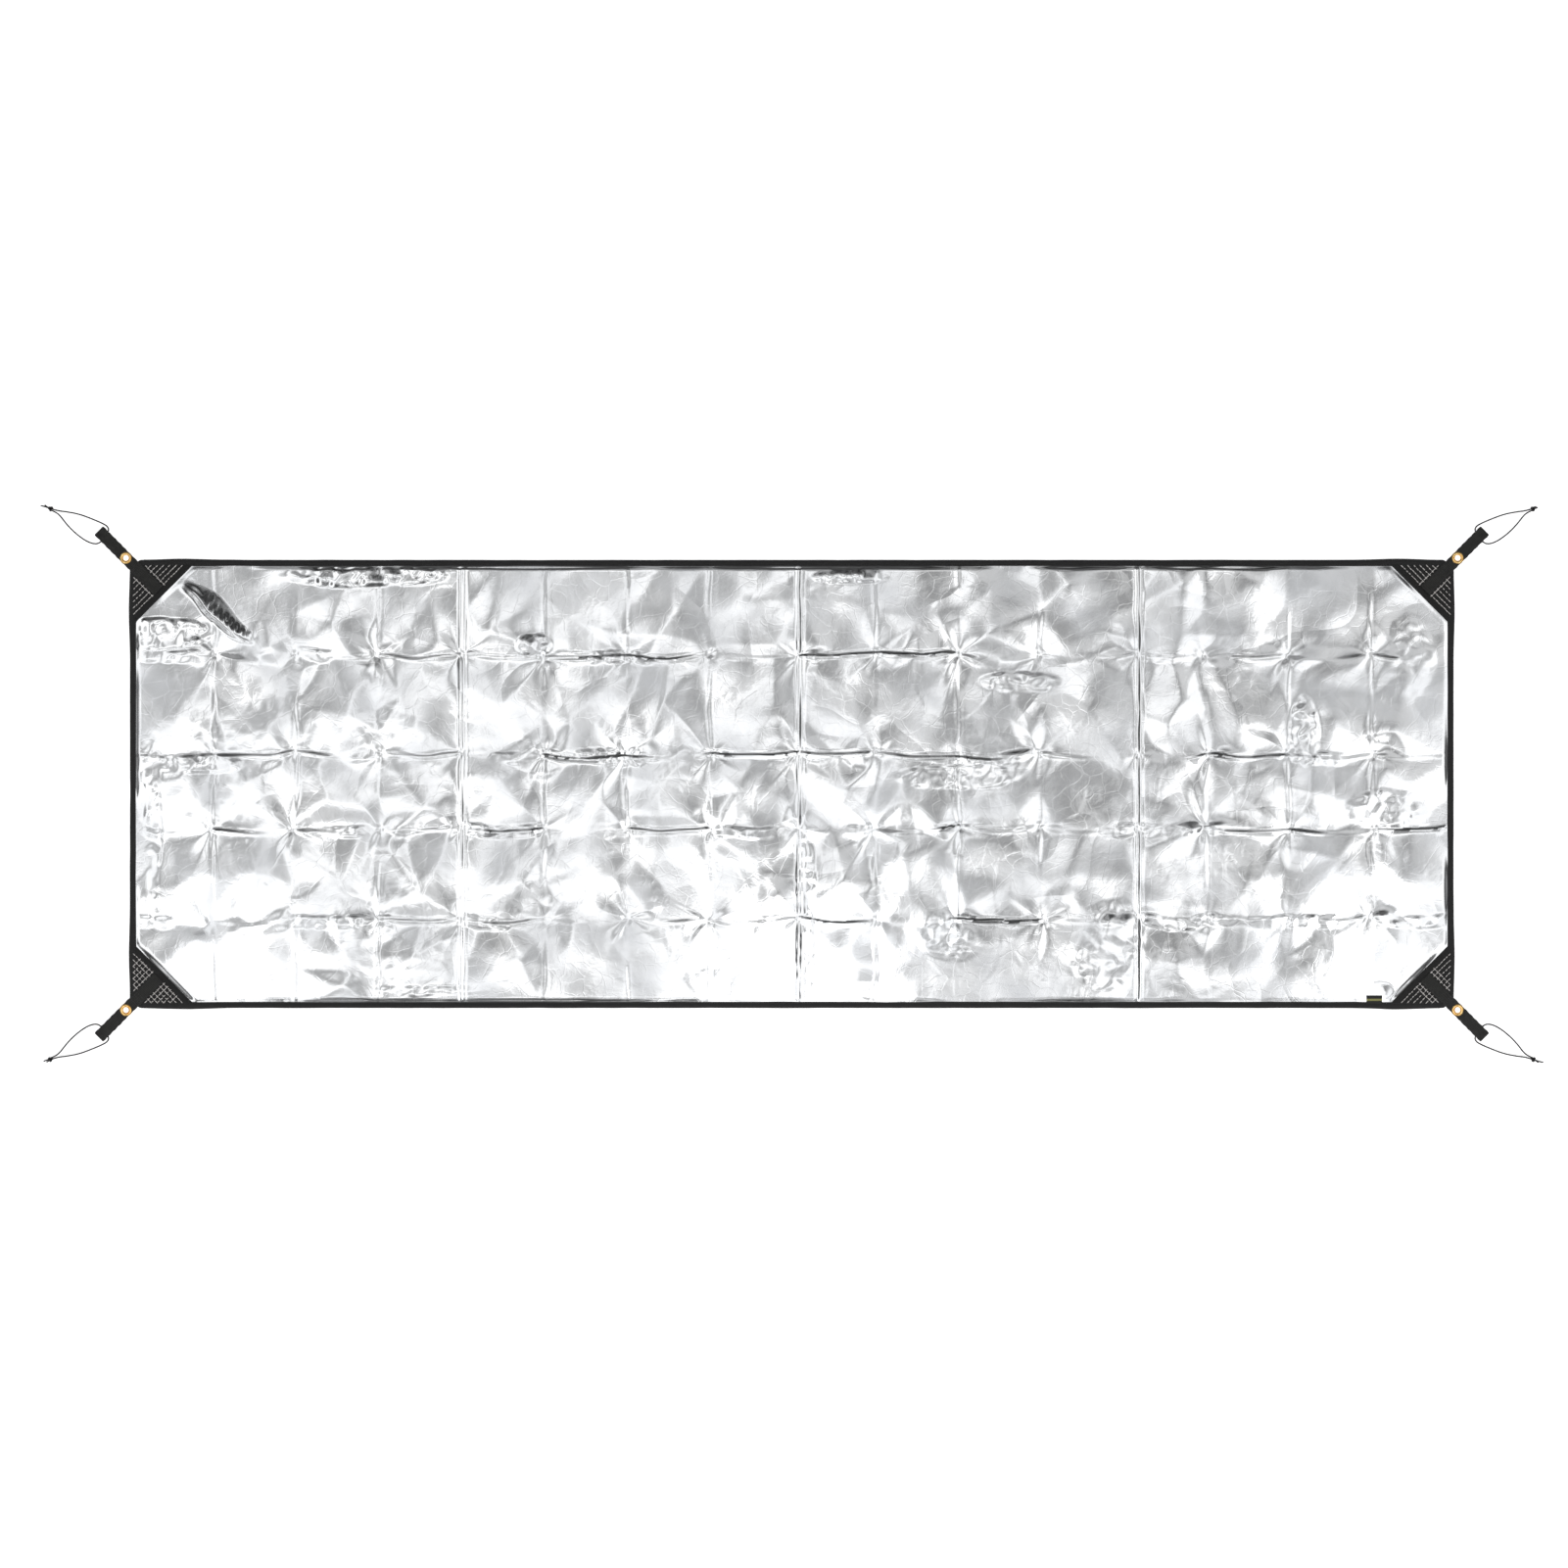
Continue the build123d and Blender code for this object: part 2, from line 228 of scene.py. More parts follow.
def cordMaterial():
    # Braided nylon cord: satin, with strands that catch the light where they cross
    material, add, shader = newMaterial("braidedNylonCord", Roughness=0.5, Sheen_Weight=0.2, Sheen_Roughness=0.35)
    place = add("ShaderNodeTexCoord").outputs["UV"]
    strands = add("ShaderNodeTexWave", {"Vector": place, "Scale": 3.0, "Distortion": 0.3},
                  bands_direction="DIAGONAL").outputs["Fac"]
    dress(add, shader, strands, [(0.1, "#050506"), (0.9, "#141416")], strands, 0.5, 0.1)
    return material


def labelMaterial(bandMiddle, bandHalf):
    # Woven damask label: black ground with an olive band, fine weft ridges across it painted lighter on their crests as
    # a highlight
    material, add, shader = newMaterial("wovenDamaskLabel", Roughness=0.6, Sheen_Weight=0.3, Sheen_Roughness=0.4)
    place = add("ShaderNodeTexCoord").outputs["Object"]
    alongY = add("ShaderNodeSeparateXYZ", {"Vector": place}).outputs["Y"]
    away = add("ShaderNodeMath", {0: alongY, 1: bandMiddle * mm}, operation="SUBTRACT")
    distance = add("ShaderNodeMath", {0: away.outputs[0]}, operation="ABSOLUTE")
    band = add("ShaderNodeMapRange", {"Value": distance.outputs[0], "From Min": (bandHalf - 0.25) * mm,
                                      "From Max": (bandHalf + 0.25) * mm, "To Min": 1.0, "To Max": 0.0})
    weft = add("ShaderNodeTexWave", {"Vector": place, "Scale": wavesPerMetre(0.9), "Distortion": 0.5},
               bands_direction="X").outputs["Fac"]
    # the weft ridges are painted lighter on their crests as a highlight, on the ground and on the band alike
    ground = add("ShaderNodeValToRGB", {"Fac": weft}, [(0.2, "#121311"), (0.9, "#262722")])
    olive = add("ShaderNodeValToRGB", {"Fac": weft}, [(0.2, "#87863f"), (0.9, "#b8b67c")])
    mix = add("ShaderNodeMix", {"Factor": band.outputs["Result"], 6: ground.outputs["Color"],
                                7: olive.outputs["Color"]}, data_type="RGBA")
    bump = add("ShaderNodeBump", {"Height": weft, "Strength": 0.5, "Distance": 0.1 * mm})
    link(shader, Base_Color=mix.outputs[2], Normal=bump.outputs["Normal"])
    return material


foil = filmMaterial()
backingCloth = clothMaterial("coatedPolyesterTaffeta", "#17191b", "#2b2e31", (1.2, 1.2), 0.06, 0.5, 0.1)
tapeCloth = clothMaterial("polyesterGrosgrainTape", "#060607", "#19191a", (1.6, 1.6), 0.10, 0.6, 0.45)
patchCloth = clothMaterial("coarseNylonOxford", "#070707", "#191919", (1.5, 1.5), 0.16, 0.65, 0.05)
webCloth = clothMaterial("ribbedNylonWebbing", "#0a0a09", "#31312d", (1.5, 2.4), 0.25, 0.55, 0.08, "UV")
blackThread = threadMaterial("bondedNylonThread", "#161617", "#505052", 0.7)
greyYarn = threadMaterial("spunPolyesterYarn", "#cfcac7", "#f6f3f1", 0.7)
brass = brassMaterial("pressedBrass", "#dc9f48", "#ffdf9c", 0.2)
foam = foamMaterial()
braid = cordMaterial()
print("materials made")


# mesh helpers, all in millimetres

def linkMesh(name, mesh, material=None, sharp=38):
    if material:
        mesh.materials.append(material)
    mesh.polygons.foreach_set("use_smooth", [True] * len(mesh.polygons))
    mesh.set_sharp_from_angle(angle=math.radians(sharp))
    piece = bpy.data.objects.new(name, mesh)
    bpy.context.collection.objects.link(piece)
    return piece


def makePiece(name, points, faces, material, sharp=38, outwards=True, uvs=None):
    mesh = bpy.data.meshes.new(name)
    mesh.from_pydata((np.asarray(points, dtype=float) * mm).tolist(), [], faces)
    if uvs is not None:
        layer = mesh.uv_layers.new(name="alongPiece")
        index = np.empty(len(mesh.loops), dtype=int)
        mesh.loops.foreach_get("vertex_index", index)
        layer.data.foreach_set("uv", np.asarray(uvs, dtype=float)[index].ravel())
    if outwards:
        shape = bmesh.new()
        shape.from_mesh(mesh)
        bmesh.ops.recalc_face_normals(shape, faces=shape.faces)
        shape.to_mesh(mesh)
        shape.free()
    return linkMesh(name, mesh, material, sharp)


def stripPlaces(low, high, fold, cell, fine=1.2, reach=16.0):
    # places along the pad: even steps, closer together where the sheet turns
    stops = [low, fold - reach, fold + reach, high]
    places = []
    for start, end, step in zip(stops, stops[1:], (cell, fine, cell)):
        count = max(2, round((end - start) / step))
        places += [start + (end - start) * i / count for i in range(count)]
    return places + [high]


def sheetPiece(name, xs, across, halfAt, topAt, bottom, material, bottomAt=None):
    # closed sheet over a grid: rows of the grid share a fraction of the half width at each place
    columns, rows = len(xs), len(across)
    grid = np.array([[(x, t * halfAt(x)) for t in across] for x in xs])
    top = topAt(grid[..., 0], grid[..., 1])
    points = [(x, y, z) for (x, y), z in zip(grid.reshape(-1, 2), top.ravel())]
    at = lambda i, j: i * rows + j
    faces = [(at(i, j), at(i + 1, j), at(i + 1, j + 1), at(i, j + 1))
             for i in range(columns - 1) for j in range(rows - 1)]
    base = len(points)
    if bottomAt is None:  # plain underside in strips across the pad
        points += [(x, t * halfAt(x), bottom) for x in xs for t in (-1, 1)]
        under = lambda i, j: base + 2 * i + (0 if j == 0 else 1)
        faces += [(under(i, 0), under(i, 1), under(i + 1, 1), under(i + 1, 0)) for i in range(columns - 1)]
        for i, turn in ((0, 1), (columns - 1, -1)):
            ring = [at(i, j) for j in range(rows)] + [under(i, 1), under(i, 0)]
            faces.append(ring[::turn])
    else:
        low = bottomAt(grid[..., 0], grid[..., 1])
        points += [(x, y, z) for (x, y), z in zip(grid.reshape(-1, 2), low.ravel())]
        under = lambda i, j: base + at(i, j)
        faces += [(under(i, j), under(i, j + 1), under(i + 1, j + 1), under(i + 1, j))
                  for i in range(columns - 1) for j in range(rows - 1)]
        for i, turn in ((0, 1), (columns - 1, -1)):
            for j in range(rows - 1):
                faces.append((at(i, j), at(i, j + 1), under(i, j + 1), under(i, j))[::turn])
    last = rows - 1
    for i in range(columns - 1):
        faces.append((at(i + 1, 0), at(i, 0), under(i, 0), under(i + 1, 0)))
        faces.append((at(i, last), at(i + 1, last), under(i + 1, last), under(i, last)))
    return makePiece(name, points, faces, material, outwards=False)


def sweepProfile(path, profile):
    # closed profile of (inset, height) at each place of a flat path, mitred at its turns;
    # inset runs to the left of the path
    path = [np.array(p, dtype=float) for p in path]
    steps = [b - a for a, b in zip(path, path[1:])]
    lefts = [np.array((-s[1], s[0])) / np.hypot(*s) for s in steps]
    points = []
    for i, place in enumerate(path):
        before, after = lefts[max(i - 1, 0)], lefts[min(i, len(lefts) - 1)]
        mitre = (before + after) / (1 + before @ after)
        for inset, height in profile(i):
            points.append((*(place + inset * mitre), height))
    size = len(points) // len(path)
    faces = [(i * size + j, i * size + (j + 1) % size, (i + 1) * size + (j + 1) % size, (i + 1) * size + j)
             for i in range(len(path) - 1) for j in range(size)]
    return points, faces + [tuple(range(size)), tuple(range(len(points) - size, len(points)))]


def attach(piece, body, slot, *nodes):
    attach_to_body(piece, body)
    if nodes:
        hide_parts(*nodes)


def spread(piece, bodies, start, end, nodes):
    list(bodies)
    [v * mm for v in start]
    [v * mm for v in end]
    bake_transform(piece)
    if nodes:
        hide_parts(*nodes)


def bendAtFold(piece, fold, bodies, nodes=()):
    x, reach = foldX[fold], foldReach[fold]
    spread(piece, bodies, (x - reach, 0, padTop / 2), (x + reach, 0, padTop / 2), nodes)


def cornerPoint(end, side, u, v, z):
    # u runs outwards along the strap and v across it, mirrored from corner to corner
    root, aside = 2 ** -0.5, 1.4  # the strap lies a little to one side of the corner
    return (end * (halfLength + aside + root * (u - v)), side * (halfWidth - aside + root * (u + v)), z)


corners = {f"{sideName}_{endName}": (end, side)
           for endName, end in (("left", -1), ("right", 1)) for sideName, side in (("back", 1), ("front", -1))}


# cord loops and their knots

cordSizes = {
    "diameter": 2.0,
    "length": 200.0,
    "strands": 5,  # strands each way round the braid
    "lay": 4.2,  # length of one turn of a strand
    "relief": 0.09,
    "knotRadius": 3.2,
    "knotRise": 1.35,
    "tails": {"back_left": (16.0, 11.0), "back_right": (8.0, 6.5), "front_left": (11.5, 8.0),
              "front_right": (16.5, 10.0)},
}
cordRoute = [
    (134.2, -26.0, 2.8), (126.0, -21.6, 1.6), (117.5, -14.6, 1.15), (101.0, -3.2, 1.1), (82.0, 5.4, 1.1),
    (67.5, 11.2, 1.3), (58.6, 13.6, 1.9), (52.9, 11.0, 2.55), (51.7, 3.6, 2.65), (50.2, -3.4, 2.65),
    (49.3, -9.8, 2.6), (51.2, -15.8, 2.0), (58.3, -21.4, 1.3), (70.0, -25.2, 1.1), (87.7, -27.4, 1.1),
    (105.0, -26.9, 1.1), (117.5, -25.0, 1.15), (126.5, -25.2, 1.6), (134.0, -28.4, 2.8),
]
knotPlace = (136.3, -27.4, 3.1)


def smoothLine(points, resolution):
    # the points of a NURBS curve through the route, in metres
    curve = bpy.data.curves.new("route", "CURVE")
    curve.dimensions = "3D"
    spline = curve.splines.new("NURBS")
    spline.points.add(len(points) - 1)
    for point, place in zip(spline.points, points):
        point.co = (*(v * mm for v in place), 1)
    spline.order_u = 3
    spline.use_endpoint_u = True
    curve.resolution_u = resolution
    holder = bpy.data.objects.new("route", curve)
    bpy.context.collection.objects.link(holder)
    line = bpy.data.meshes.new_from_object(holder.evaluated_get(bpy.context.evaluated_depsgraph_get()))
    places = [vertex.co.copy() for vertex in line.vertices]
    bpy.data.objects.remove(holder)
    return places


def braidedTube(line, sides=14, closed=False, ends=0.75):
    # tube along a line in millimetres, its surface raised where the strands cross
    radius = cordSizes["diameter"] / 2 + cordSizes["relief"] / 3
    line = [Vector(p) for p in line]
    count = len(line)
    up = Vector((0, 0, 1))
    points, uvs, run = [], [], 0.0
    for i, place in enumerate(line):
        ahead = line[(i + 1) % count if closed else min(i + 1, count - 1)]
        behind = line[i - 1 if closed else max(i - 1, 0)]
        along = (ahead - behind).normalized()
        if i:
            run += (place - line[i - 1]).length
        up = (up - along * up.dot(along)).normalized()
        side = along.cross(up)
        for j in range(sides):
            angle = math.tau * j / sides
            turn = math.tau * run / cordSizes["lay"]
            raised = max(math.cos(cordSizes["strands"] * angle + way * 2 * turn) for way in (-1, 1))
            size = radius + cordSizes["relief"] * raised
            points.append(place + (up * math.cos(angle) + side * math.sin(angle)) * size)
            uvs.append((j / sides, run / cordSizes["lay"]))
    rings = count if closed else count - 1
    faces = [(i * sides + j, i * sides + (j + 1) % sides, (i + 1) % count * sides + (j + 1) % sides,
              (i + 1) % count * sides + j) for i in range(rings) for j in range(sides)]
    if not closed:
        for first, place, inner in ((0, line[0], line[1]), ((count - 1) * sides, line[-1], line[-2])):
            points.append(place + (place - inner).normalized() * ends)
            uvs.append((0.5, 0))
            faces += [(first + j, first + (j + 1) % sides, len(points) - 1) for j in range(sides)]
    return points, faces, uvs


def joinTubes(tubes):
    points, faces, uvs = [], [], []
    for tubePoints, tubeFaces, tubeUvs in tubes:
        faces += [tuple(len(points) + i for i in face) for face in tubeFaces]
        points += tubePoints
        uvs += tubeUvs
    return points, faces, uvs


def makeCord(corner, end, side):
    hand = lambda u, v, z: Vector(cornerPoint(end, side, u, v, z))
    path = smoothLine([hand(*p) for p in cordRoute], 18)
    points, faces, uvs = braidedTube([p / mm for p in path])
    cord = makePiece(f"cord_loop_{corner}", points, faces, braid, uvs=uvs)
    middle = hand(*knotPlace)
    # overhand knot: a three-lobed closed line, pressed flat
    loop = []
    for i in range(96):
        t = math.tau * i / 96
        radius, rise = cordSizes["knotRadius"], cordSizes["knotRise"]
        loop.append(middle + Vector(((math.sin(t) + 2 * math.sin(2 * t)) / 3 * radius,
                                     (math.cos(t) - 2 * math.cos(2 * t)) / 3 * radius, -math.sin(3 * t) * rise)))
    tubes = [braidedTube(loop, closed=True)]
    outwards = Vector((end, side, 0)).normalized()
    for turn, reach in zip((-28, -12), cordSizes["tails"][corner]):
        heading = outwards.copy()
        heading.rotate(Matrix.Rotation(math.radians(turn) * end * side, 3, "Z"))
        across = heading.cross(Vector((0, 0, 1)))
        sway = 0.5 if turn < -20 else -0.5
        # out of the knot and down on to the floor
        tail = [middle + heading * (1.5 + (reach - 2.2) * f) + across * sway * math.sin(3 * f)
                + Vector((0, 0, (1.1 - middle.z) * min(1, 2.5 * f))) for f in (i / 30 for i in range(31))]
        tubes.append(braidedTube(tail, ends=0.6))
    points, faces, uvs = joinTubes(tubes)
    knot = makePiece(f"knot_{corner}_overhand", points, faces, braid, uvs=uvs)
    attach(cord, f"{corner}_loop", "cord", f"cord_{corner}")
    attach(knot, f"{corner}_loop", "cord", f"knot_{corner}")
    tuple(path[0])


for corner, (end, side) in corners.items():
    makeCord(corner, end, side)
print("cord loops made")


# metallised film

film = {
    "cell": 2.0,  # grid of the height field
    "meshCell": 2.3,
    "under": 2.5,  # how far the film runs in under the binding
    "columns": 16,  # creases across the pad, from its folding in half four times
    "rows": (190.6, 43.3, -65.0, -199.3),  # creases along the pad
    "strongColumns": {4: foldX["fold_left"], 8: foldX["fold_middle"], 12: foldX["fold_right"]},
    "sag": 8.0,  # how far a lengthwise crease bows between two pinches
    "crests": (1.0, 5.2),  # height of the crests inside each cell
    "fans": (18, 42),  # how far folds run out from a pinch
    "crisp": 0.32,  # share of the broad relief that keeps its facets
    "crushCell": 9,  # spacing of the small facets of crushed film
    "crushTall": 2.4,
    "swell": 0.7,  # slow waves under everything
    "ridge": 1.35,  # height of a lengthwise crease
    "strongRidge": 0.95,
    "faintRidge": 0.3,
    "highest": 11.5,  # crests are rounded off below this height
    "seed": 11,
}
# one deep fold beside the back left patch
deepFold = {
    "start": (-905, 296),
    "finish": (-785, 198),
    "length": 150,
    "broad": (8, 16),  # width of its long slope at its ends, and how much wider it is in the middle
    "steep": 0.4,
    "teeth": 2.9,  # height of the small ridges crushed across it
}
# places where the film is crushed: middle, half size, strength
crushed = [
    ((-640, 306), (110, 14), 1.7), ((85, 306), (70, 12), 1.6), ((-380, 203), (22, 14), 0.9),
    ((-918, 222), (52, 15), 1.1), ((753, 87), (18, 45), 0.8), ((-110, -281), (45, 16), 0.8),
    ((232, -220), (46, 34), 0.7), ((466, -245), (45, 55), 0.45), ((-560, -305), (90, 8), 0.5),
    ((20, -120), (12, 70), 0.7), ((20, -230), (12, 70), 0.8), ((330, 150), (60, 14), 0.5),
    ((-870, 30), (80, 12), 0.6), ((870, -40), (60, 25), 0.6), ((240, 10), (120, 14), 0.5),
    ((-940, -60), (14, 110), 0.6), ((905, 180), (40, 60), 0.35), ((-260, 40), (60, 14), 0.8),
]
draw = random.Random(film["seed"])
noise = np.random.default_rng(film["seed"])
gridX = np.arange(-halfLength - 2, halfLength + 2.1, film["cell"])
gridY = np.arange(-halfWidth - 2, halfWidth + 2.1, film["cell"])
placeX, placeY = np.meshgrid(gridX, gridY, indexing="ij")


def blur(field, size):
    # gaussian blur; size in millimetres
    reach = int(3 * size / film["cell"]) + 1
    weights = np.exp(-0.5 * (np.arange(-reach, reach + 1) * film["cell"] / size) ** 2)
    weights /= weights.sum()
    field = np.pad(field, reach, mode="reflect" if reach < min(field.shape) else "edge")
    for axis in (0, 1):
        field = np.apply_along_axis(np.convolve, axis, field, weights, "valid")
    return field


def clouds(size):
    # smooth noise of that grain, of unit spread
    field = blur(noise.standard_normal(placeX.shape), size / 2)
    return field / field.std()


def facets(points, heights):
    # flat triangles between the points, read over the whole grid
    places, _, triangles, origins, *_ = delaunay_2d_cdt([Vector(p) for p in points], [], [], 0, 1e-4)
    field = np.zeros(placeX.shape)
    tall = [heights[origin[0]] for origin in origins]
    for triangle in triangles:
        (ax, ay), (bx, by), (cx, cy) = (places[i] for i in triangle)
        size = (bx - ax) * (cy - ay) - (cx - ax) * (by - ay)
        if abs(size) < 1e-6:
            continue
        i0, i1 = np.searchsorted(gridX, (min(ax, bx, cx), max(ax, bx, cx)))
        j0, j1 = np.searchsorted(gridY, (min(ay, by, cy), max(ay, by, cy)))
        px, py = placeX[i0:i1, j0:j1], placeY[i0:i1, j0:j1]
        second = ((px - ax) * (cy - ay) - (cx - ax) * (py - ay)) / size
        third = ((bx - ax) * (py - ay) - (px - ax) * (by - ay)) / size
        inside = (second >= -1e-6) & (third >= -1e-6) & (second + third <= 1 + 1e-6)
        value = (1 - second - third) * tall[triangle[0]] + second * tall[triangle[1]] + third * tall[triangle[2]]
        field[i0:i1, j0:j1][inside] = value[inside]
    return field


def easing(value):
    value = np.clip(value, 0, 1)
    return value * value * (3 - 2 * value)


columnX = [film["strongColumns"].get(k, -halfLength + 2 * halfLength * k / film["columns"])
           for k in range(film["columns"] + 1)]
rowY = [halfWidth, *film["rows"], -halfWidth]
pinches = [[(columnX[k] + (draw.uniform(-5, 5) if k not in film["strongColumns"] else 0), y + draw.uniform(-3, 3))
            for k in range(film["columns"] + 1)] for y in film["rows"]]

# broad facets: low at the pinches, bowed creases between them, crests inside each cell
points, heights = [], []
for row in pinches:
    for k, (x, y) in enumerate(row):
        points.append((x, y))
        heights.append(draw.uniform(0.1, 0.6))
        if k:
            points.append(((x + row[k - 1][0]) / 2, y - film["sag"] * draw.uniform(0.2, 1.1)))
            heights.append(draw.uniform(0.5, 1.8))
for row in pinches:  # folds that fan out from each pinch, high and low in turn
    for x, y in row[1:-1]:
        count = draw.choice((2, 3, 3, 4))
        turn = draw.uniform(0, math.tau)
        for k in range(2 * count):
            angle = turn + math.tau * (k + draw.uniform(-0.25, 0.25)) / (2 * count)
            reach = draw.uniform(*film["fans"])
            points.append((x + reach * math.cos(angle), y + 0.8 * reach * math.sin(angle)))
            heights.append(draw.uniform(1.5, 3.4) if k % 2 else draw.uniform(0.2, 0.9))
for k, x in enumerate(columnX):
    for y, below in zip(rowY, rowY[1:]):
        if k and k < film["columns"]:
            points.append((x + draw.uniform(-4, 4), (y + below) / 2 + draw.uniform(-15, 15)))
            heights.append(draw.uniform(0.4, 2.0))
for k in range(2 * film["columns"] + 1):
    for y in (-halfWidth, halfWidth):
        points.append((-halfLength + halfLength * k / film["columns"], y * 1.02))
        heights.append(draw.uniform(0.1, 0.8))
for x in (-halfLength * 1.01, halfLength * 1.01):
    for k in range(13):
        points.append((x, halfWidth * 1.02 * (k / 6 - 1) * 0.999))
        heights.append(draw.uniform(0.1, 0.5))
for left, right in zip(columnX, columnX[1:]):
    for y, below in zip(rowY, rowY[1:]):
        for _ in range(draw.choice((1, 1, 2))):
            points.append((draw.uniform(left + 30, right - 30), draw.uniform(below + 28, y - 28)))
            heights.append(draw.uniform(*film["crests"]))
broad = facets(points, heights)
relief = film["crisp"] * blur(broad, 1.8) + (1 - film["crisp"]) * blur(broad, 9)

# small facets of crushed film, shown only in patches and beside the creases
cell = film["crushCell"]
small = [(x + draw.uniform(-4, 4), y + draw.uniform(-4, 4))
         for x in np.arange(-halfLength - cell, halfLength + cell + 1, cell)
         for y in np.arange(-halfWidth - cell, halfWidth + cell + 1, cell)]
crush = blur(facets(small, [draw.uniform(0, film["crushTall"]) for _ in small]), 1.6)
patchy = clouds(60)
mask = 0.02 + 0.1 * easing((clouds(90) - 0.9) / 0.8)
for (x, y), (wide, tall), strength in crushed:
    spot = ((placeX - x) / wide) ** 2 + ((placeY - y) / tall) ** 2
    mask = np.maximum(mask, strength * easing(1.5 - spot + 0.5 * patchy))

# creases: a ridge with a hollow beside it, broken up along its length
along = clouds(26)
breaks = easing(0.55 + 0.6 * clouds(70))


def crease(distance, tall, wide):
    return tall * (np.exp(-(distance / wide) ** 2) - 0.55 * np.exp(-((distance - 1.9 * wide) / wide) ** 2))


for row in pinches:
    across = np.interp(gridX, [p[0] for p in row], [p[1] for p in row])
    starts = np.searchsorted([p[0] for p in row], gridX).clip(1, len(row) - 1)
    share = np.array([(x - row[i - 1][0]) / (row[i][0] - row[i - 1][0]) for x, i in zip(gridX, starts)]).clip(0, 1)
    bows = np.array([draw.uniform(0.3, 1.0) for _ in row])
    firm = np.array([draw.choice((0.1, 0.35, 0.7, 1.0, 1.25)) for _ in row])
    across = across - film["sag"] * bows[starts] * np.sin(math.pi * share)
    distance = placeY - across[:, None] + 0.8 * along
    relief += crease(distance, film["ridge"] * breaks * firm[starts][:, None], 1.9)
    mask = np.maximum(mask, 0.75 * easing(1.3 - (distance / 9) ** 2) * easing(patchy * 0.8 - 0.1))
for k, x in enumerate(columnX[1:-1], 1):
    strong = k in film["strongColumns"]
    distance = placeX - x + (0.35 if strong else 1.2) * along
    relief += crease(distance, film["strongRidge"] if strong else film["faintRidge"] * breaks * breaks,
                     3.0 if strong else 2.2)
relief += mask * crush

# puckers that radiate from each pinch
for row in pinches:
    for x, y in row[1:-1]:
        lean = draw.uniform(-0.5, 0.5)
        away = np.hypot(1.25 * (placeX - x) - lean * (placeY - y), 0.8 * (placeY - y))
        near = away < 80
        angle = np.arctan2(placeY - y, placeX - x)[near]
        away = away[near]
        lobes, turn, tall = draw.choice((3, 4, 5)), draw.uniform(0, math.tau), draw.choice((0.4, 0.7, 1.5, 2.6))
        wave = np.abs(np.sin(lobes * angle / 2 + turn + 0.4 * np.sin(3 * angle)))
        relief[near] += tall * (0.6 - wave) * (away / 14) * np.exp(-away / 20)
        relief[near] -= 0.9 * np.exp(-(away / 5) ** 2)

relief += film["swell"] * (clouds(45) * 0.6 + clouds(150))

# the deep fold: a long slope up to its ridge and a short one down, with teeth along its middle
start, finish = np.array(deepFold["start"]), np.array(deepFold["finish"])
run = (finish - start) / np.hypot(*(finish - start))
lengthwise = (placeX - start[0]) * run[0] + (placeY - start[1]) * run[1]
sideways = -(placeX - start[0]) * run[1] + (placeY - start[1]) * run[0] + 3 * along
inside = easing(lengthwise / 30) * easing((deepFold["length"] - lengthwise) / 40)
broadSide = (deepFold["broad"][0]
             + deepFold["broad"][1] * np.sin(np.clip(lengthwise / deepFold["length"], 0, 1) * math.pi))
slope = np.where(sideways > 0, np.clip(1 - sideways / broadSide, 0, 1), easing(1 + sideways / 9))
teeth = np.abs(np.sin(lengthwise / 3.4 + 0.1 * sideways)) * easing((lengthwise - 35) / 20) - 0.5
relief += inside * (deepFold["steep"] * broadSide * blur(slope, 1.2)
                    + deepFold["teeth"] * teeth * np.exp(-((sideways - 10) / 5) ** 2))

# flat under the patches and down to the binding
toHem = (halfLength + halfWidth - patchLeg - np.abs(placeX) - np.abs(placeY)) / math.sqrt(2)
toTape = np.minimum(halfLength - tapeWidth - np.abs(placeX), halfWidth - tapeWidth - np.abs(placeY))
low, high = (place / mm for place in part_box("label"))
toLabel = np.hypot(np.maximum(0, np.abs(placeX - (low.x + high.x) / 2) - 13), np.maximum(0, placeY - high.y))
relief = 0.05 + (np.maximum(relief - relief.min() * 0.25, 0) * easing((toHem + 1) / 9) * easing((toTape + 1) / 6)
                 * (0.08 + 0.92 * easing(toLabel / 22)))
rounding = 3
over = np.maximum(relief - film["highest"] + rounding, 0)
relief += rounding * np.tanh(over / rounding) - over
print("film relief made, highest", round(float(relief.max()), 1), "mm")


def reliefAt(x, y):
    i = np.clip((x - gridX[0]) / film["cell"], 0, len(gridX) - 1.001)
    j = np.clip((y - gridY[0]) / film["cell"], 0, len(gridY) - 1.001)
    a, b = i.astype(int), j.astype(int)
    s, t = i - a, j - b
    return ((1 - s) * (1 - t) * relief[a, b] + s * (1 - t) * relief[a + 1, b]
            + (1 - s) * t * relief[a, b + 1] + s * t * relief[a + 1, b + 1])


def innerHalf(inset):
    # half the width of the pad at each place along it, drawn in from its edge
    return lambda x: min(halfWidth - inset, halfLength + halfWidth - cornerCut - inset * math.sqrt(2) - abs(x))


inset = tapeWidth - film["under"]
for name, low, high, fold, bodies in spans:
    low, high = max(low, inset - halfLength), min(high, halfLength - inset)
    xs = stripPlaces(low, high, foldX[fold], film["meshCell"])
    rows = round(2 * halfWidth / film["meshCell"])
    across = [2 * j / rows - 1 for j in range(rows + 1)]
    piece = sheetPiece(f"film_{name}_sheet", xs, across, innerHalf(inset),
                       lambda x, y: padTop + reliefAt(x, y), foamTop, foil)
    bendAtFold(piece, fold, bodies, [f"film_{part}" for part in standsFor[name]])
print("film made")


# foam and backing

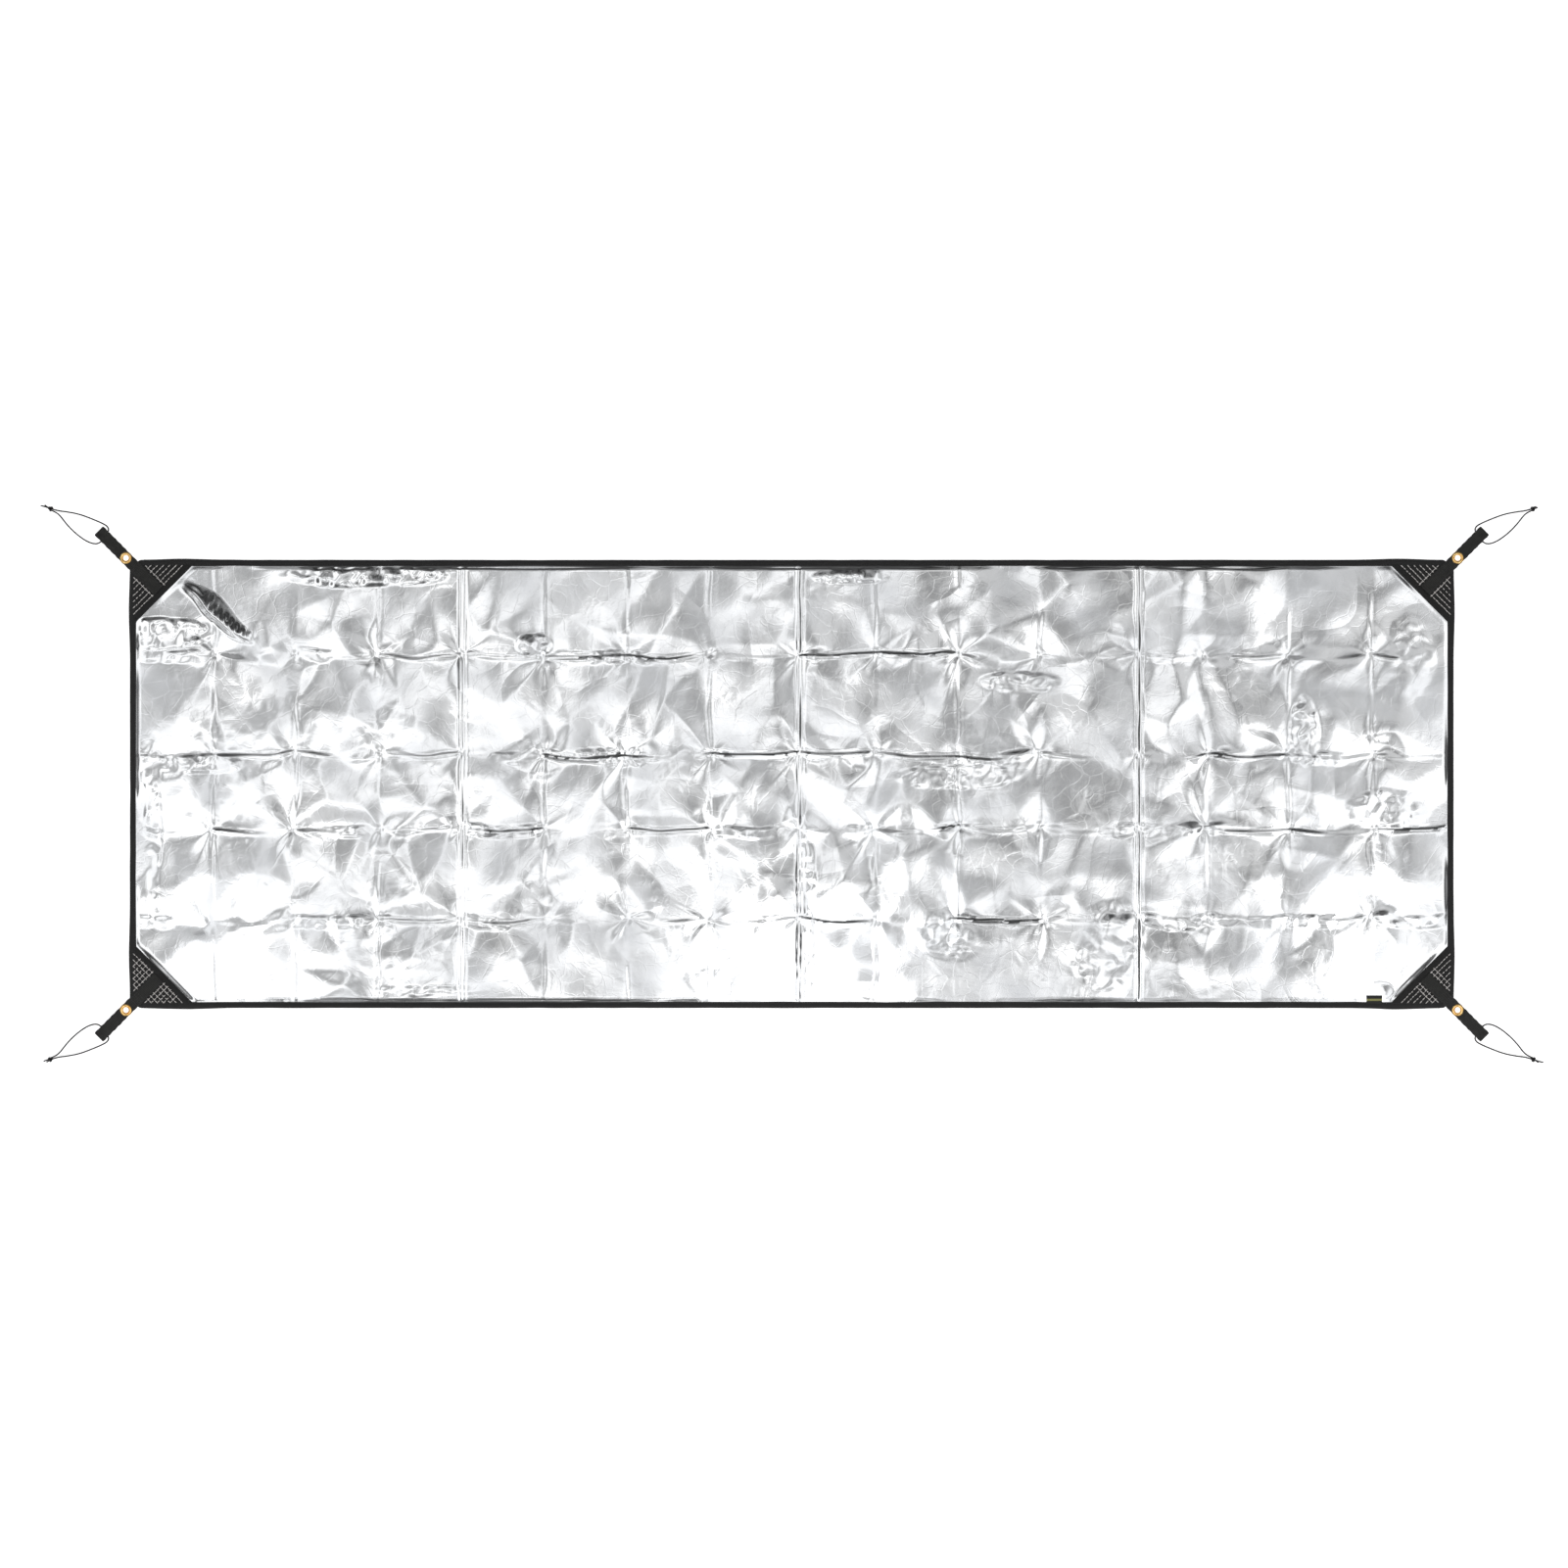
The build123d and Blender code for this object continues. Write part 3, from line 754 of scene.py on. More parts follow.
foamEdge = 0.6  # how far the foam stays inside the rim
for name, low, high, fold, bodies in spans:
    xs = stripPlaces(max(low, foamEdge - halfLength), min(high, halfLength - foamEdge), foldX[fold], 6)
    across = [2 * j / 60 - 1 for j in range(61)]
    core = sheetPiece(f"foam_{name}_sheet", xs, across, innerHalf(foamEdge),
                      lambda x, y: foamTop + 0 * x, backingTop, foam)
    bendAtFold(core, fold, bodies, [f"foam_{part}" for part in standsFor[name]])
    low, high = max(low, inset - halfLength), min(high, halfLength - inset)
    xs = stripPlaces(low, high, foldX[fold], 5)
    across = [2 * j / 120 - 1 for j in range(121)]
    under = sheetPiece(f"backing_{name}_sheet", xs, across, innerHalf(inset), lambda x, y: backingTop + 0 * x, 0,
                       backingCloth, bottomAt=lambda x, y: np.clip(0.28 - 0.05 * reliefAt(x, y), 0.0, 0.3))
    bendAtFold(under, fold, bodies, [f"backing_{part}" for part in standsFor[name]])
print("foam and backing made")


# thread and yarn laid along a line

def threadTree():
    # instances a rounded stitch at even steps along every edge line of the input
    tree = bpy.data.node_groups.new("threadAlongLine", "GeometryNodeTree")
    add = partial(addNode, tree)
    face = tree.interface
    face.new_socket("Geometry", in_out="INPUT", socket_type="NodeSocketGeometry")
    for name in ("Pitch", "Length", "Width", "Height", "Wander", "Uneven"):
        face.new_socket(name, in_out="INPUT", socket_type="NodeSocketFloat")
    face.new_socket("Seed", in_out="INPUT", socket_type="NodeSocketInt")
    face.new_socket("Material", in_out="INPUT", socket_type="NodeSocketMaterial")
    face.new_socket("Geometry", in_out="OUTPUT", socket_type="NodeSocketGeometry")
    given = add("NodeGroupInput").outputs
    line = add("GeometryNodeMeshToCurve", {"Mesh": given["Geometry"]})
    even = add("GeometryNodeResampleCurve", {"Curve": line.outputs["Curve"], "Length": given["Pitch"]}, mode="LENGTH")
    # each stitch is moved a little aside and is a little longer or shorter than the next
    backwards = add("ShaderNodeMath", {0: given["Wander"], 1: -1.0}, operation="MULTIPLY").outputs[0]
    lowest = add("ShaderNodeCombineXYZ", {"X": backwards, "Y": backwards})
    highest = add("ShaderNodeCombineXYZ", {"X": given["Wander"], "Y": given["Wander"]})
    drift = add("FunctionNodeRandomValue", {0: lowest.outputs[0], 1: highest.outputs[0], "Seed": given["Seed"]},
                data_type="FLOAT_VECTOR")
    moved = add("GeometryNodeSetPosition", {"Geometry": even.outputs["Curve"], "Offset": drift.outputs[0]})
    tangent = add("GeometryNodeInputTangent").outputs["Tangent"]
    turned = add("FunctionNodeAlignRotationToVector", {"Vector": tangent}, axis="X", pivot_axis="Z")
    least = add("ShaderNodeMath", {0: 1.0, 1: given["Uneven"]}, operation="SUBTRACT")
    most = add("ShaderNodeMath", {0: 1.0, 1: given["Uneven"]}, operation="ADD")
    vary = add("FunctionNodeRandomValue", {2: least.outputs[0], 3: most.outputs[0], "Seed": given["Seed"]},
               data_type="FLOAT")
    long = add("ShaderNodeMath", {0: given["Length"], 1: vary.outputs[1]}, operation="MULTIPLY")
    size = add("ShaderNodeCombineXYZ", {"X": long.outputs[0], "Y": given["Width"], "Z": given["Height"]})
    stitch = add("GeometryNodeMeshUVSphere", {"Segments": 6, "Rings": 5, "Radius": 0.5})
    sewn = add("GeometryNodeInstanceOnPoints", {
        "Points": moved.outputs["Geometry"], "Instance": stitch.outputs["Mesh"],
        "Rotation": turned.outputs["Rotation"], "Scale": size.outputs["Vector"]})
    real = add("GeometryNodeRealizeInstances", {"Geometry": sewn.outputs["Instances"]})
    done = add("GeometryNodeSetMaterial", {"Geometry": real.outputs["Geometry"], "Material": given["Material"]})
    add("NodeGroupOutput", {"Geometry": done.outputs["Geometry"]})
    return tree


threading = threadTree()


def sew(name, lines, material, pitch, stitch, wander, uneven, seed):
    # lines are open runs of points; stitch is the length, width and height of one; all in millimetres
    points, edges = [], []
    for line in lines:
        edges += [(len(points) + i, len(points) + i + 1) for i in range(len(line) - 1)]
        points += line
    mesh = bpy.data.meshes.new(name)
    mesh.from_pydata((np.array(points) * mm).tolist(), edges, [])
    guide = bpy.data.objects.new(name + "_guide", mesh)
    bpy.context.collection.objects.link(guide)
    modifier = guide.modifiers.new("thread", "NODES")
    modifier.node_group = threading
    length, width, height = stitch
    values = {"Pitch": pitch * mm, "Length": length * mm, "Width": width * mm, "Height": height * mm,
              "Wander": wander * mm, "Uneven": uneven, "Seed": seed, "Material": material}
    for item in threading.interface.items_tree:
        if item.in_out == "INPUT" and item.name in values:
            modifier[item.identifier] = values[item.name]
    depsgraph = bpy.context.evaluated_depsgraph_get()
    grown = bpy.data.meshes.new_from_object(guide.evaluated_get(depsgraph), depsgraph=depsgraph)
    guide.modifiers.remove(modifier)
    bpy.data.objects.remove(guide)
    return linkMesh(name, grown, sharp=180)


# binding tape

tape = {
    "thick": 0.55,
    "crown": 0.5,  # how far the sewn fold stands above the film
    "wave": 0.5,
    "bulge": (2.2, 1.6),  # how far it bellies out beside each corner, on the long sides and at the ends
    "wrap": 24,  # width of the flat tape
    "stitchIn": 2.3,
    "stitchPitch": 3.6,
    "stitch": (2.9, 0.55, 0.36),
}
stitchLine = padTop + tape["crown"] - 0.26
waver = np.random.default_rng(5)
waveTable = waver.standard_normal((4, 400))


def wobble(row, place, grain=28.0):
    # smooth run of numbers along an edge
    at = (place + 2000) / grain
    i = int(at)
    share = easing(at - i)
    return float((1 - share) * waveTable[row, i % 400] + share * waveTable[row, (i + 1) % 400])


def tapeProfile(row, place, bulge=0.0):
    # U section round the rim; its inset runs inwards from the pad's edge
    out = -0.35 - bulge + 0.22 * tape["wave"] * wobble(row, place)
    inner = tapeWidth + 0.5 * tape["wave"] * wobble(row, place + 700, 40)
    crown = padTop + tape["crown"]
    dip = crown - 0.28  # pulled down along the stitching
    thick = tape["thick"]
    return [
        (inner, padTop - 0.05), (inner + 0.15, padTop + 0.3), (inner - 0.7, crown - 0.12),
        (tapeWidth - tape["stitchIn"] + 0.9, dip + 0.05), (tapeWidth - tape["stitchIn"], dip),
        (tapeWidth - tape["stitchIn"] - 0.9, dip + 0.1), (4.2, crown), (1.8, crown - 0.15), (out + 0.9, crown - 0.7),
        (out + 0.1, crown - 1.7), (out, 1.8), (out + 0.2, 0.9), (out + 1.1, 0.12), (2.6, 0.0), (tapeWidth - 1, 0.0),
        (inner, 0.1), (inner, 0.1 + 0.22), (tapeWidth - 1, 0.02 + thick * 0.6), (2.6, thick * 0.75),
        (1.3, 1.0), (0.62, 1.7), (0.62, 2.9), (1.2, padTop - 0.3), (3.0, padTop - 0.12), (tapeWidth - 2, padTop - 0.1),
    ]


def longBulge(x):
    near = halfLength - 26 - abs(x)
    return 0.8 * tape["bulge"][0] * math.exp(-((near - 55) / 45) ** 2) if near > -40 else 0.0


def endBulge(y):
    return tape["bulge"][1] * math.exp(-((halfWidth - 75 - abs(y)) / 42) ** 2)


def tapeSeam(name, line, seed):
    return sew(name, [line], blackThread, tape["stitchPitch"], tape["stitch"], 0.08, 0.1, seed)


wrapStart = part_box("binding_back_left_end")[0].x / mm
for name, low, high, fold, bodies in spans:
    for sideName, side in (("back", 1), ("front", -1)):
        places = stripPlaces(max(low, wrapStart), min(high, -wrapStart), foldX[fold], 5)
        row = 0 if side > 0 else 1
        # the path runs so that inwards is on its left
        path = [(x, side * halfWidth) for x in places][::-side]
        profile = lambda i: tapeProfile(row, path[i][0], longBulge(path[i][0]))
        piece = makePiece(f"binding_{sideName}_{name}_tape", *sweepProfile(path, profile), tapeCloth)
        bendAtFold(piece, fold, bodies, [f"binding_{sideName}_{part}" for part in standsFor[name]])
        y = side * (halfWidth - tapeWidth + tape["stitchIn"])
        seam = tapeSeam(f"binding_{sideName}_{name}_stitches", [(x, y, stitchLine) for x in places], 3 + row)
        bendAtFold(seam, fold, bodies)

for endName, end in (("left", -1), ("right", 1)):
    # round both chamfered corners, anticlockwise, so that inwards is on its left
    near, cut = -wrapStart, halfLength - cornerCut
    turns = [(near, -halfWidth), (cut, -halfWidth), (halfLength, -(halfWidth - cornerCut)),
             (halfLength, halfWidth - cornerCut), (cut, halfWidth), (near, halfWidth)]
    if end < 0:
        turns = [(-x, -y) for x, y in turns]
    path, rounded = [], 3.0
    for i, point in enumerate(turns):
        if 0 < i < len(turns) - 1:
            here, before, after = Vector(point), Vector(turns[i - 1]), Vector(turns[i + 1])
            a, b = here + (before - here).normalized() * rounded, here + (after - here).normalized() * rounded
            path += [tuple(a.lerp(here, t).lerp(here.lerp(b, t), t)) for t in (0, 0.33, 0.67, 1)]
        else:
            path.append(point)
        if i == 2:
            start, finish = path[-1], turns[3]
            count = 120
            path += [(start[0], start[1] + (finish[1] - start[1]) * j / count) for j in range(1, count - 1)]
    profile = lambda i: tapeProfile(2 + (end > 0), path[i][1], endBulge(path[i][1]))
    piece = makePiece(f"binding_{endName}_edge_tape", *sweepProfile(path, profile), tapeCloth)
    attach(piece, f"{endName}_end_panel", "binding", f"binding_{endName}_edge")
    x = end * (halfLength - tapeWidth + tape["stitchIn"])
    line = [(x, y, stitchLine) for y in np.linspace(-halfWidth + 22, halfWidth - 22, 80)]
    attach(tapeSeam(f"binding_{endName}_edge_stitches", line, 9), f"{endName}_end_panel", "thread")
print("binding made")


# corner patches

patch = {
    "cell": 1.6,
    "hem": 8.0,
    "rise": 0.55,  # thickness that the turned-under hem adds
    "rows": 6.5,  # spacing of the lines of yarn
    "yarn": (5.6, 1.5, 0.75),  # length, width and height of one float of yarn
    "yarnPitch": 4.9,
    "besideStrap": 12.2,  # where the yarn starts, from the middle of the strap
    # lines of yarn along the strap, each side of it
    "alongStrap": {"back_left": 1, "back_right": 1, "front_right": 2, "front_left": 5},
}


def patchHeight(x, y):
    # plain cloth with a doubled hem along its long edge and small ripples from the sewing
    fromHem = (abs(x) + abs(y) - (halfLength + halfWidth - patchLeg)) / math.sqrt(2)
    ripple = 0.12 * math.sin(x * 0.21 + 0.4 * math.sin(y * 0.13)) * math.sin(y * 0.17)
    shoulder = float(easing((patch["hem"] + 0.6 - fromHem) / 1.4))
    rolled = patch["rise"] * shoulder * math.sqrt(max(0.0, 1 - max(0.0, 1 - (fromHem + 0.3) / 1.6) ** 2))
    return patchTop + 0.02 + ripple * 0.7 * (1 - shoulder) + rolled


def makePatch(corner, end, side):
    body = f"{corner.split('_')[1]}_end_panel"
    inset = tapeWidth - 1.0
    outX, outY = halfLength - inset, halfWidth - inset
    shape = bmesh.new()
    count = int((patchLeg - inset + 4) / patch["cell"])
    rows = [[shape.verts.new((outX - i * patch["cell"], outY - j * patch["cell"], 0)) for j in range(count)]
            for i in range(count)]
    for i in range(count - 1):
        for j in range(count - 1):
            shape.faces.new((rows[i][j], rows[i][j + 1], rows[i + 1][j + 1], rows[i + 1][j]))
    # cut off along the hem, and at the pad's chamfered corner
    for cut, out in ((patchLeg, -1), (cornerCut + inset * 1.3, 1)):
        middle = (halfLength + halfWidth - cut) / 2
        bmesh.ops.bisect_plane(shape, geom=shape.verts[:] + shape.edges[:] + shape.faces[:], dist=0.01,
                               plane_co=(middle, middle, 0), plane_no=(out, out, 0), clear_outer=True)
    sheet = bmesh.ops.extrude_face_region(shape, geom=shape.faces[:])
    raised = {v for v in sheet["geom"] if isinstance(v, bmesh.types.BMVert)}
    for vertex in shape.verts:
        vertex.co.z = patchHeight(vertex.co.x, vertex.co.y) if vertex in raised else padTop + 0.02
    for vertex in shape.verts:
        vertex.co.x, vertex.co.y = end * vertex.co.x, side * vertex.co.y
        vertex.co *= mm
    bmesh.ops.recalc_face_normals(shape, faces=shape.faces)
    mesh = bpy.data.meshes.new(f"patch_{corner}_cloth")
    shape.to_mesh(mesh)
    shape.free()
    piece = linkMesh(f"patch_{corner}_cloth", mesh, patchCloth)
    attach(piece, body, "patch", f"patch_{corner}")

    # yarn in running floats: rows along the hem, crossed by one or more along the strap
    hemLine = -(patchLeg / math.sqrt(2) - patch["hem"])
    lines = []

    def run(a, b):
        steps = max(2, int(math.dist(a, b) / 2))
        row = []
        for i in range(steps + 1):
            u, v = (a[k] + (b[k] - a[k]) * i / steps for k in (0, 1))
            x, y, _ = cornerPoint(end, side, u, v, 0)
            row.append((x, y, patchHeight(x, y) + 0.12))
        lines.append(row)

    limit = lambda u: -u - 10.5  # half the patch's width at that distance from the corner
    beside = patch["besideStrap"]
    first = hemLine + 2.5
    u = first
    while limit(u) > beside + 2.8:
        for hand in (-1, 1):
            run((u, hand * beside), (u, hand * (limit(u) - 0.5)))
        u += patch["rows"]
    for k in range(patch["alongStrap"][corner]):
        v = beside + k * patch["rows"]
        for hand in (-1, 1):
            run((first, hand * v), (-v - 11.5, hand * v))
    yarn = sew(f"patch_{corner}_yarn", lines, greyYarn, patch["yarnPitch"], patch["yarn"], 0.25, 0.25,
               21 + end + 2 * side)
    attach(yarn, body, "thread")


for corner, (end, side) in corners.items():
    makePatch(corner, end, side)
print("patches made")


# corner webbing, stitched down, with its grommet

web = {
    "width": 18.0,
    "thick": 1.2,
    "across": 16,  # quads over the width
    "sewnEnd": -61.7,
    "corner": 14,  # where the free end starts to sag
    "foldCentre": 60.85,
    "foldRadius": 2.05,
    "clampFrom": 26,  # the lower layer rises from here to meet the grommet's washer
    "clamped": 14.8,
    "lowerEnd": -3.4,
    "grommet": 6.2,
    "holeRadius": 5.4,
    "stitch": (2.2, 0.6, 0.42),
}


def webLine():
    # side view of the webbing: out over the corner, round the fold and back under the grommet
    upper, lower = webTop - web["thick"] / 2, web["thick"] / 2
    clamp = webTop - 1.5 * web["thick"]
    start, corner, turn, radius = web["sewnEnd"], web["corner"], web["foldCentre"], web["foldRadius"]
    leave, meet, finish = web["clampFrom"], web["clamped"], web["lowerEnd"]
    line = [(start + (corner - start) * i / 62, upper) for i in range(62)]
    line += [(corner + (turn - corner) * i / 36, upper - 0.35 * math.sin(math.pi * i / 36)) for i in range(36)]
    line += [(turn + radius * math.sin(math.pi * i / 10), lower + radius + radius * math.cos(math.pi * i / 10))
             for i in range(10)]
    line += [(turn + (leave - turn) * i / 28, lower) for i in range(28)]
    line += [(leave + (meet - leave) * i / 12, lower + (clamp - lower) * float(easing(i / 12))) for i in range(12)]
    return line + [(meet + (finish - meet) * i / 14, clamp) for i in range(15)]


def bandPoints(line, across, pointAt):
    # upper and lower points of a band that follows a side view, and its length up to each of them
    points, uvs, run = [], [], 0.0
    for i, here in enumerate(line):
        ahead, behind = line[min(i + 1, len(line) - 1)], line[max(i - 1, 0)]
        size = math.dist(ahead, behind)
        along, rise = ((a - b) / size for a, b in zip(ahead, behind))
        if i:
            run += math.dist(here, line[i - 1])
        for v in across:
            for sign in (1, -1):
                points.append(pointAt(*here, v, run, sign * along, sign * rise))
                uvs.append((v * mm, run * mm))
    return points, uvs, run


def bandFaces(count, rows, holes=()):
    # closed skin round a band's points, and round the cells left out of it
    at = lambda i, j, k: (i * rows + j) * 2 + k
    cells = {(i, j) for i in range(count - 1) for j in range(rows - 1)} - set(holes)
    faces = []
    for i, j in sorted(cells):
        a, b, c, d = (i, j), (i + 1, j), (i + 1, j + 1), (i, j + 1)
        faces.append((at(*a, 0), at(*b, 0), at(*c, 0), at(*d, 0)))
        faces.append((at(*a, 1), at(*d, 1), at(*c, 1), at(*b, 1)))
        for start, end, beside in ((a, b, (i, j - 1)), (b, c, (i + 1, j)), (c, d, (i, j + 1)), (d, a, (i - 1, j))):
            if beside not in cells:
                faces.append((at(*start, 0), at(*start, 1), at(*end, 1), at(*end, 0)))
    return faces


def makeWeb(corner, end, side):
    def pointAt(u, z, v, run, along, rise):
        edge = abs(v) / (web["width"] / 2)
        half = web["thick"] / 2 * (1 - 0.45 * edge ** 10)
        ripple = 0.25 * math.sin(run / 1.7) * edge ** 12  # the selvedge is slightly scalloped
        return cornerPoint(end, side, u - half * rise, v + ripple * math.copysign(1, v), z + half * along)

    line = webLine()
    across = [(j / web["across"] - 0.5) * web["width"] for j in range(web["across"] + 1)]
    holes = {(i, j) for i in range(len(line) - 1) for j in range(web["across"])
             if math.hypot((line[i][0] + line[i + 1][0]) / 2 - web["grommet"], (across[j] + across[j + 1]) / 2)
             < web["holeRadius"]}
    points, uvs, run = bandPoints(line, across, pointAt)
    faces = bandFaces(len(line), len(across), holes)
    piece = makePiece(f"strap_{corner}_webbing", points, faces, webCloth, uvs=uvs, sharp=50)
    panel = f"{corner.split('_')[1]}_end_panel"
    start, finish = (cornerPoint(end, side, u, 0, patchTop + 0.6) for u in (-9.5, -3.6))
    spread(piece, (panel, f"{corner}_tab"), start, finish, [f"strap_{corner}", f"tab_{corner}"])

    # rows of thread along both edges of the sewn length, bars across its ends,
    # and a box of short rows beside the corner, through binding and patch
    inner, outer, reach = web["sewnEnd"] + 2.2, -10.5, 7.0
    runs = [((inner, v), (outer, v)) for v in (-reach, reach)]
    runs += [((u, -reach), (u, reach)) for u in (inner, inner + 3.0, outer)]
    runs += [((outer - 2.6 * k, -6.4), (outer - 2.6 * k, 6.4)) for k in range(1, 7)]
    lines = [[cornerPoint(end, side, *place, webTop + 0.05) for place in ends] for ends in runs]
    seam = sew(f"stitching_{corner}_thread", lines, blackThread, 2.6, web["stitch"], 0.1, 0.12, 31)
    attach(seam, panel, "thread", f"stitching_{corner}")


eyelet = {
    "bore": 4.2,
    "barrel": 4.75,
    "flange": 8.5,
    "dome": 0.75,
}


def lathe(profile, centre, steps=56):
    # closed profile of (radius, height) turned about an upright line
    size = len(profile)
    points = [(centre[0] + r * math.cos(math.tau * i / steps), centre[1] + r * math.sin(math.tau * i / steps), z)
              for i in range(steps) for r, z in profile]
    faces = [(i * size + j, i * size + (j + 1) % size, (i + 1) % steps * size + (j + 1) % size,
              (i + 1) % steps * size + j) for i in range(steps) for j in range(size)]
    return points, faces


def makeEyelet(corner, end, side):
    centre = cornerPoint(end, side, web["grommet"], 0, 0)
    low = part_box(f"eyelet_{corner}")[0].z / mm
    bore, barrel, flange = eyelet["bore"], eyelet["barrel"], eyelet["flange"]
    middle, half = (flange + bore + 0.5) / 2, (flange - bore - 0.5) / 2
    dome = [(middle + half * math.cos(a), webTop + 0.12 + (eyelet["dome"] if math.sin(a) > 0 else 0.12) * math.sin(a))
            for a in (math.pi * k / 12 for k in range(-1, 13))]
    profile = [(bore, low + 0.25), (bore, webTop - 0.4), (bore + 0.12, webTop), *dome[::-1],
               (barrel, webTop - 0.02), (barrel, low + 0.5), (bore + 2.1, low + 0.5), (bore + 2.0, low + 0.05),
               (bore + 0.9, low)]
    piece = makePiece(f"eyelet_{corner}_rolled", *lathe(profile, centre), brass, sharp=60)
    attach(piece, f"{corner}_tab", "brass", f"eyelet_{corner}")
    washer = frame["nodes"][f"washer_{corner}"]
    washer.data.materials.clear()
    washer.data.materials.append(brass)


for corner, (end, side) in corners.items():
    makeWeb(corner, end, side)
    makeEyelet(corner, end, side)
print("webbing and grommets made")


# woven label

label = {"curl": 0.9, "layer": 0.36, "band": (-317.9, 1.5)}  # the band's middle along Y, and half its width


def makeLabel():
    low, high = (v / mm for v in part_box("label"))

    def pointAt(y, z, x, run, along, rise):
        lift = 0.25 * math.sin((x - low.x) / (high.x - low.x) * math.pi * 1.3) * max(0, (y - low.y) / 10)
        half = label["layer"] / 2
        return x, y - half * rise, z + lift + half * along

    # side view: out from under the binding, folded over and back
    bottom, turn = padTop + 0.75, high.y - 0.4
    line = [(low.y - 3, bottom)] + [(low.y + (turn - low.y) * i / 8, bottom + label["curl"] * (i / 8) ** 2)
                                    for i in range(9)]
    tip = line[-1]
    line += [(tip[0] + 0.4 * math.sin(a), tip[1] + 0.2 - 0.2 * math.cos(a)) for a in (0.8, 1.57, 2.3)]
    line += [(y, z + 0.4) for y, z in line[9::-1]]
    widths = np.linspace(low.x, high.x, 24)
    points, _, _ = bandPoints(line, widths, pointAt)
    piece = makePiece("label_woven_tag", points, bandFaces(len(line), len(widths)), labelMaterial(*label["band"]))
    attach(piece, "right_end_panel", "label", "label")


makeLabel()
print("label made")


# floor, light and camera

studio = {
    "strength": 1.42,
    "heights": [(0.0, 0.95), (0.3, 0.9), (0.46, 0.75), (0.58, 0.2), (0.68, 0.15), (0.8, 0.28), (0.9, 0.68),
                (0.955, 1.0)],
    "greys": [(0.3, 0.1), (0.385, 0.27), (0.46, 0.45), (0.556, 0.54), (0.57, 0.85), (0.7, 0.98)],
    "panels": [(-0.98, 0.15), (0.02, 0.32), (0.95, 0.19)],  # place along the pad and width of each low panel
    "panelDepth": 1.3,
    "panelPlace": (-0.82, 0.95),  # in front of the pad and above it
    "lens": 100,
    "cameraPlace": (-0.0115, 0.0, 6.42),
}


def setStage():
    floorMesh = bpy.data.meshes.new("floor")
    reach, drop = 60, 0.0004
    outline = [(x * reach, y * reach, -drop) for x, y in ((-1, -1), (1, -1), (1, 1), (-1, 1))]
    floorMesh.from_pydata(outline, [], [(0, 1, 2, 3)])
    material, *_ = newMaterial("whitePaperSweep", Base_Color=linear("#ffffff"), Roughness=0.9,
                               Emission_Color=linear("#ffffff"), Emission_Strength=0.85)
    floorMesh.materials.append(material)
    floor = bpy.data.objects.new("floor", floorMesh)
    bpy.context.collection.objects.link(floor)


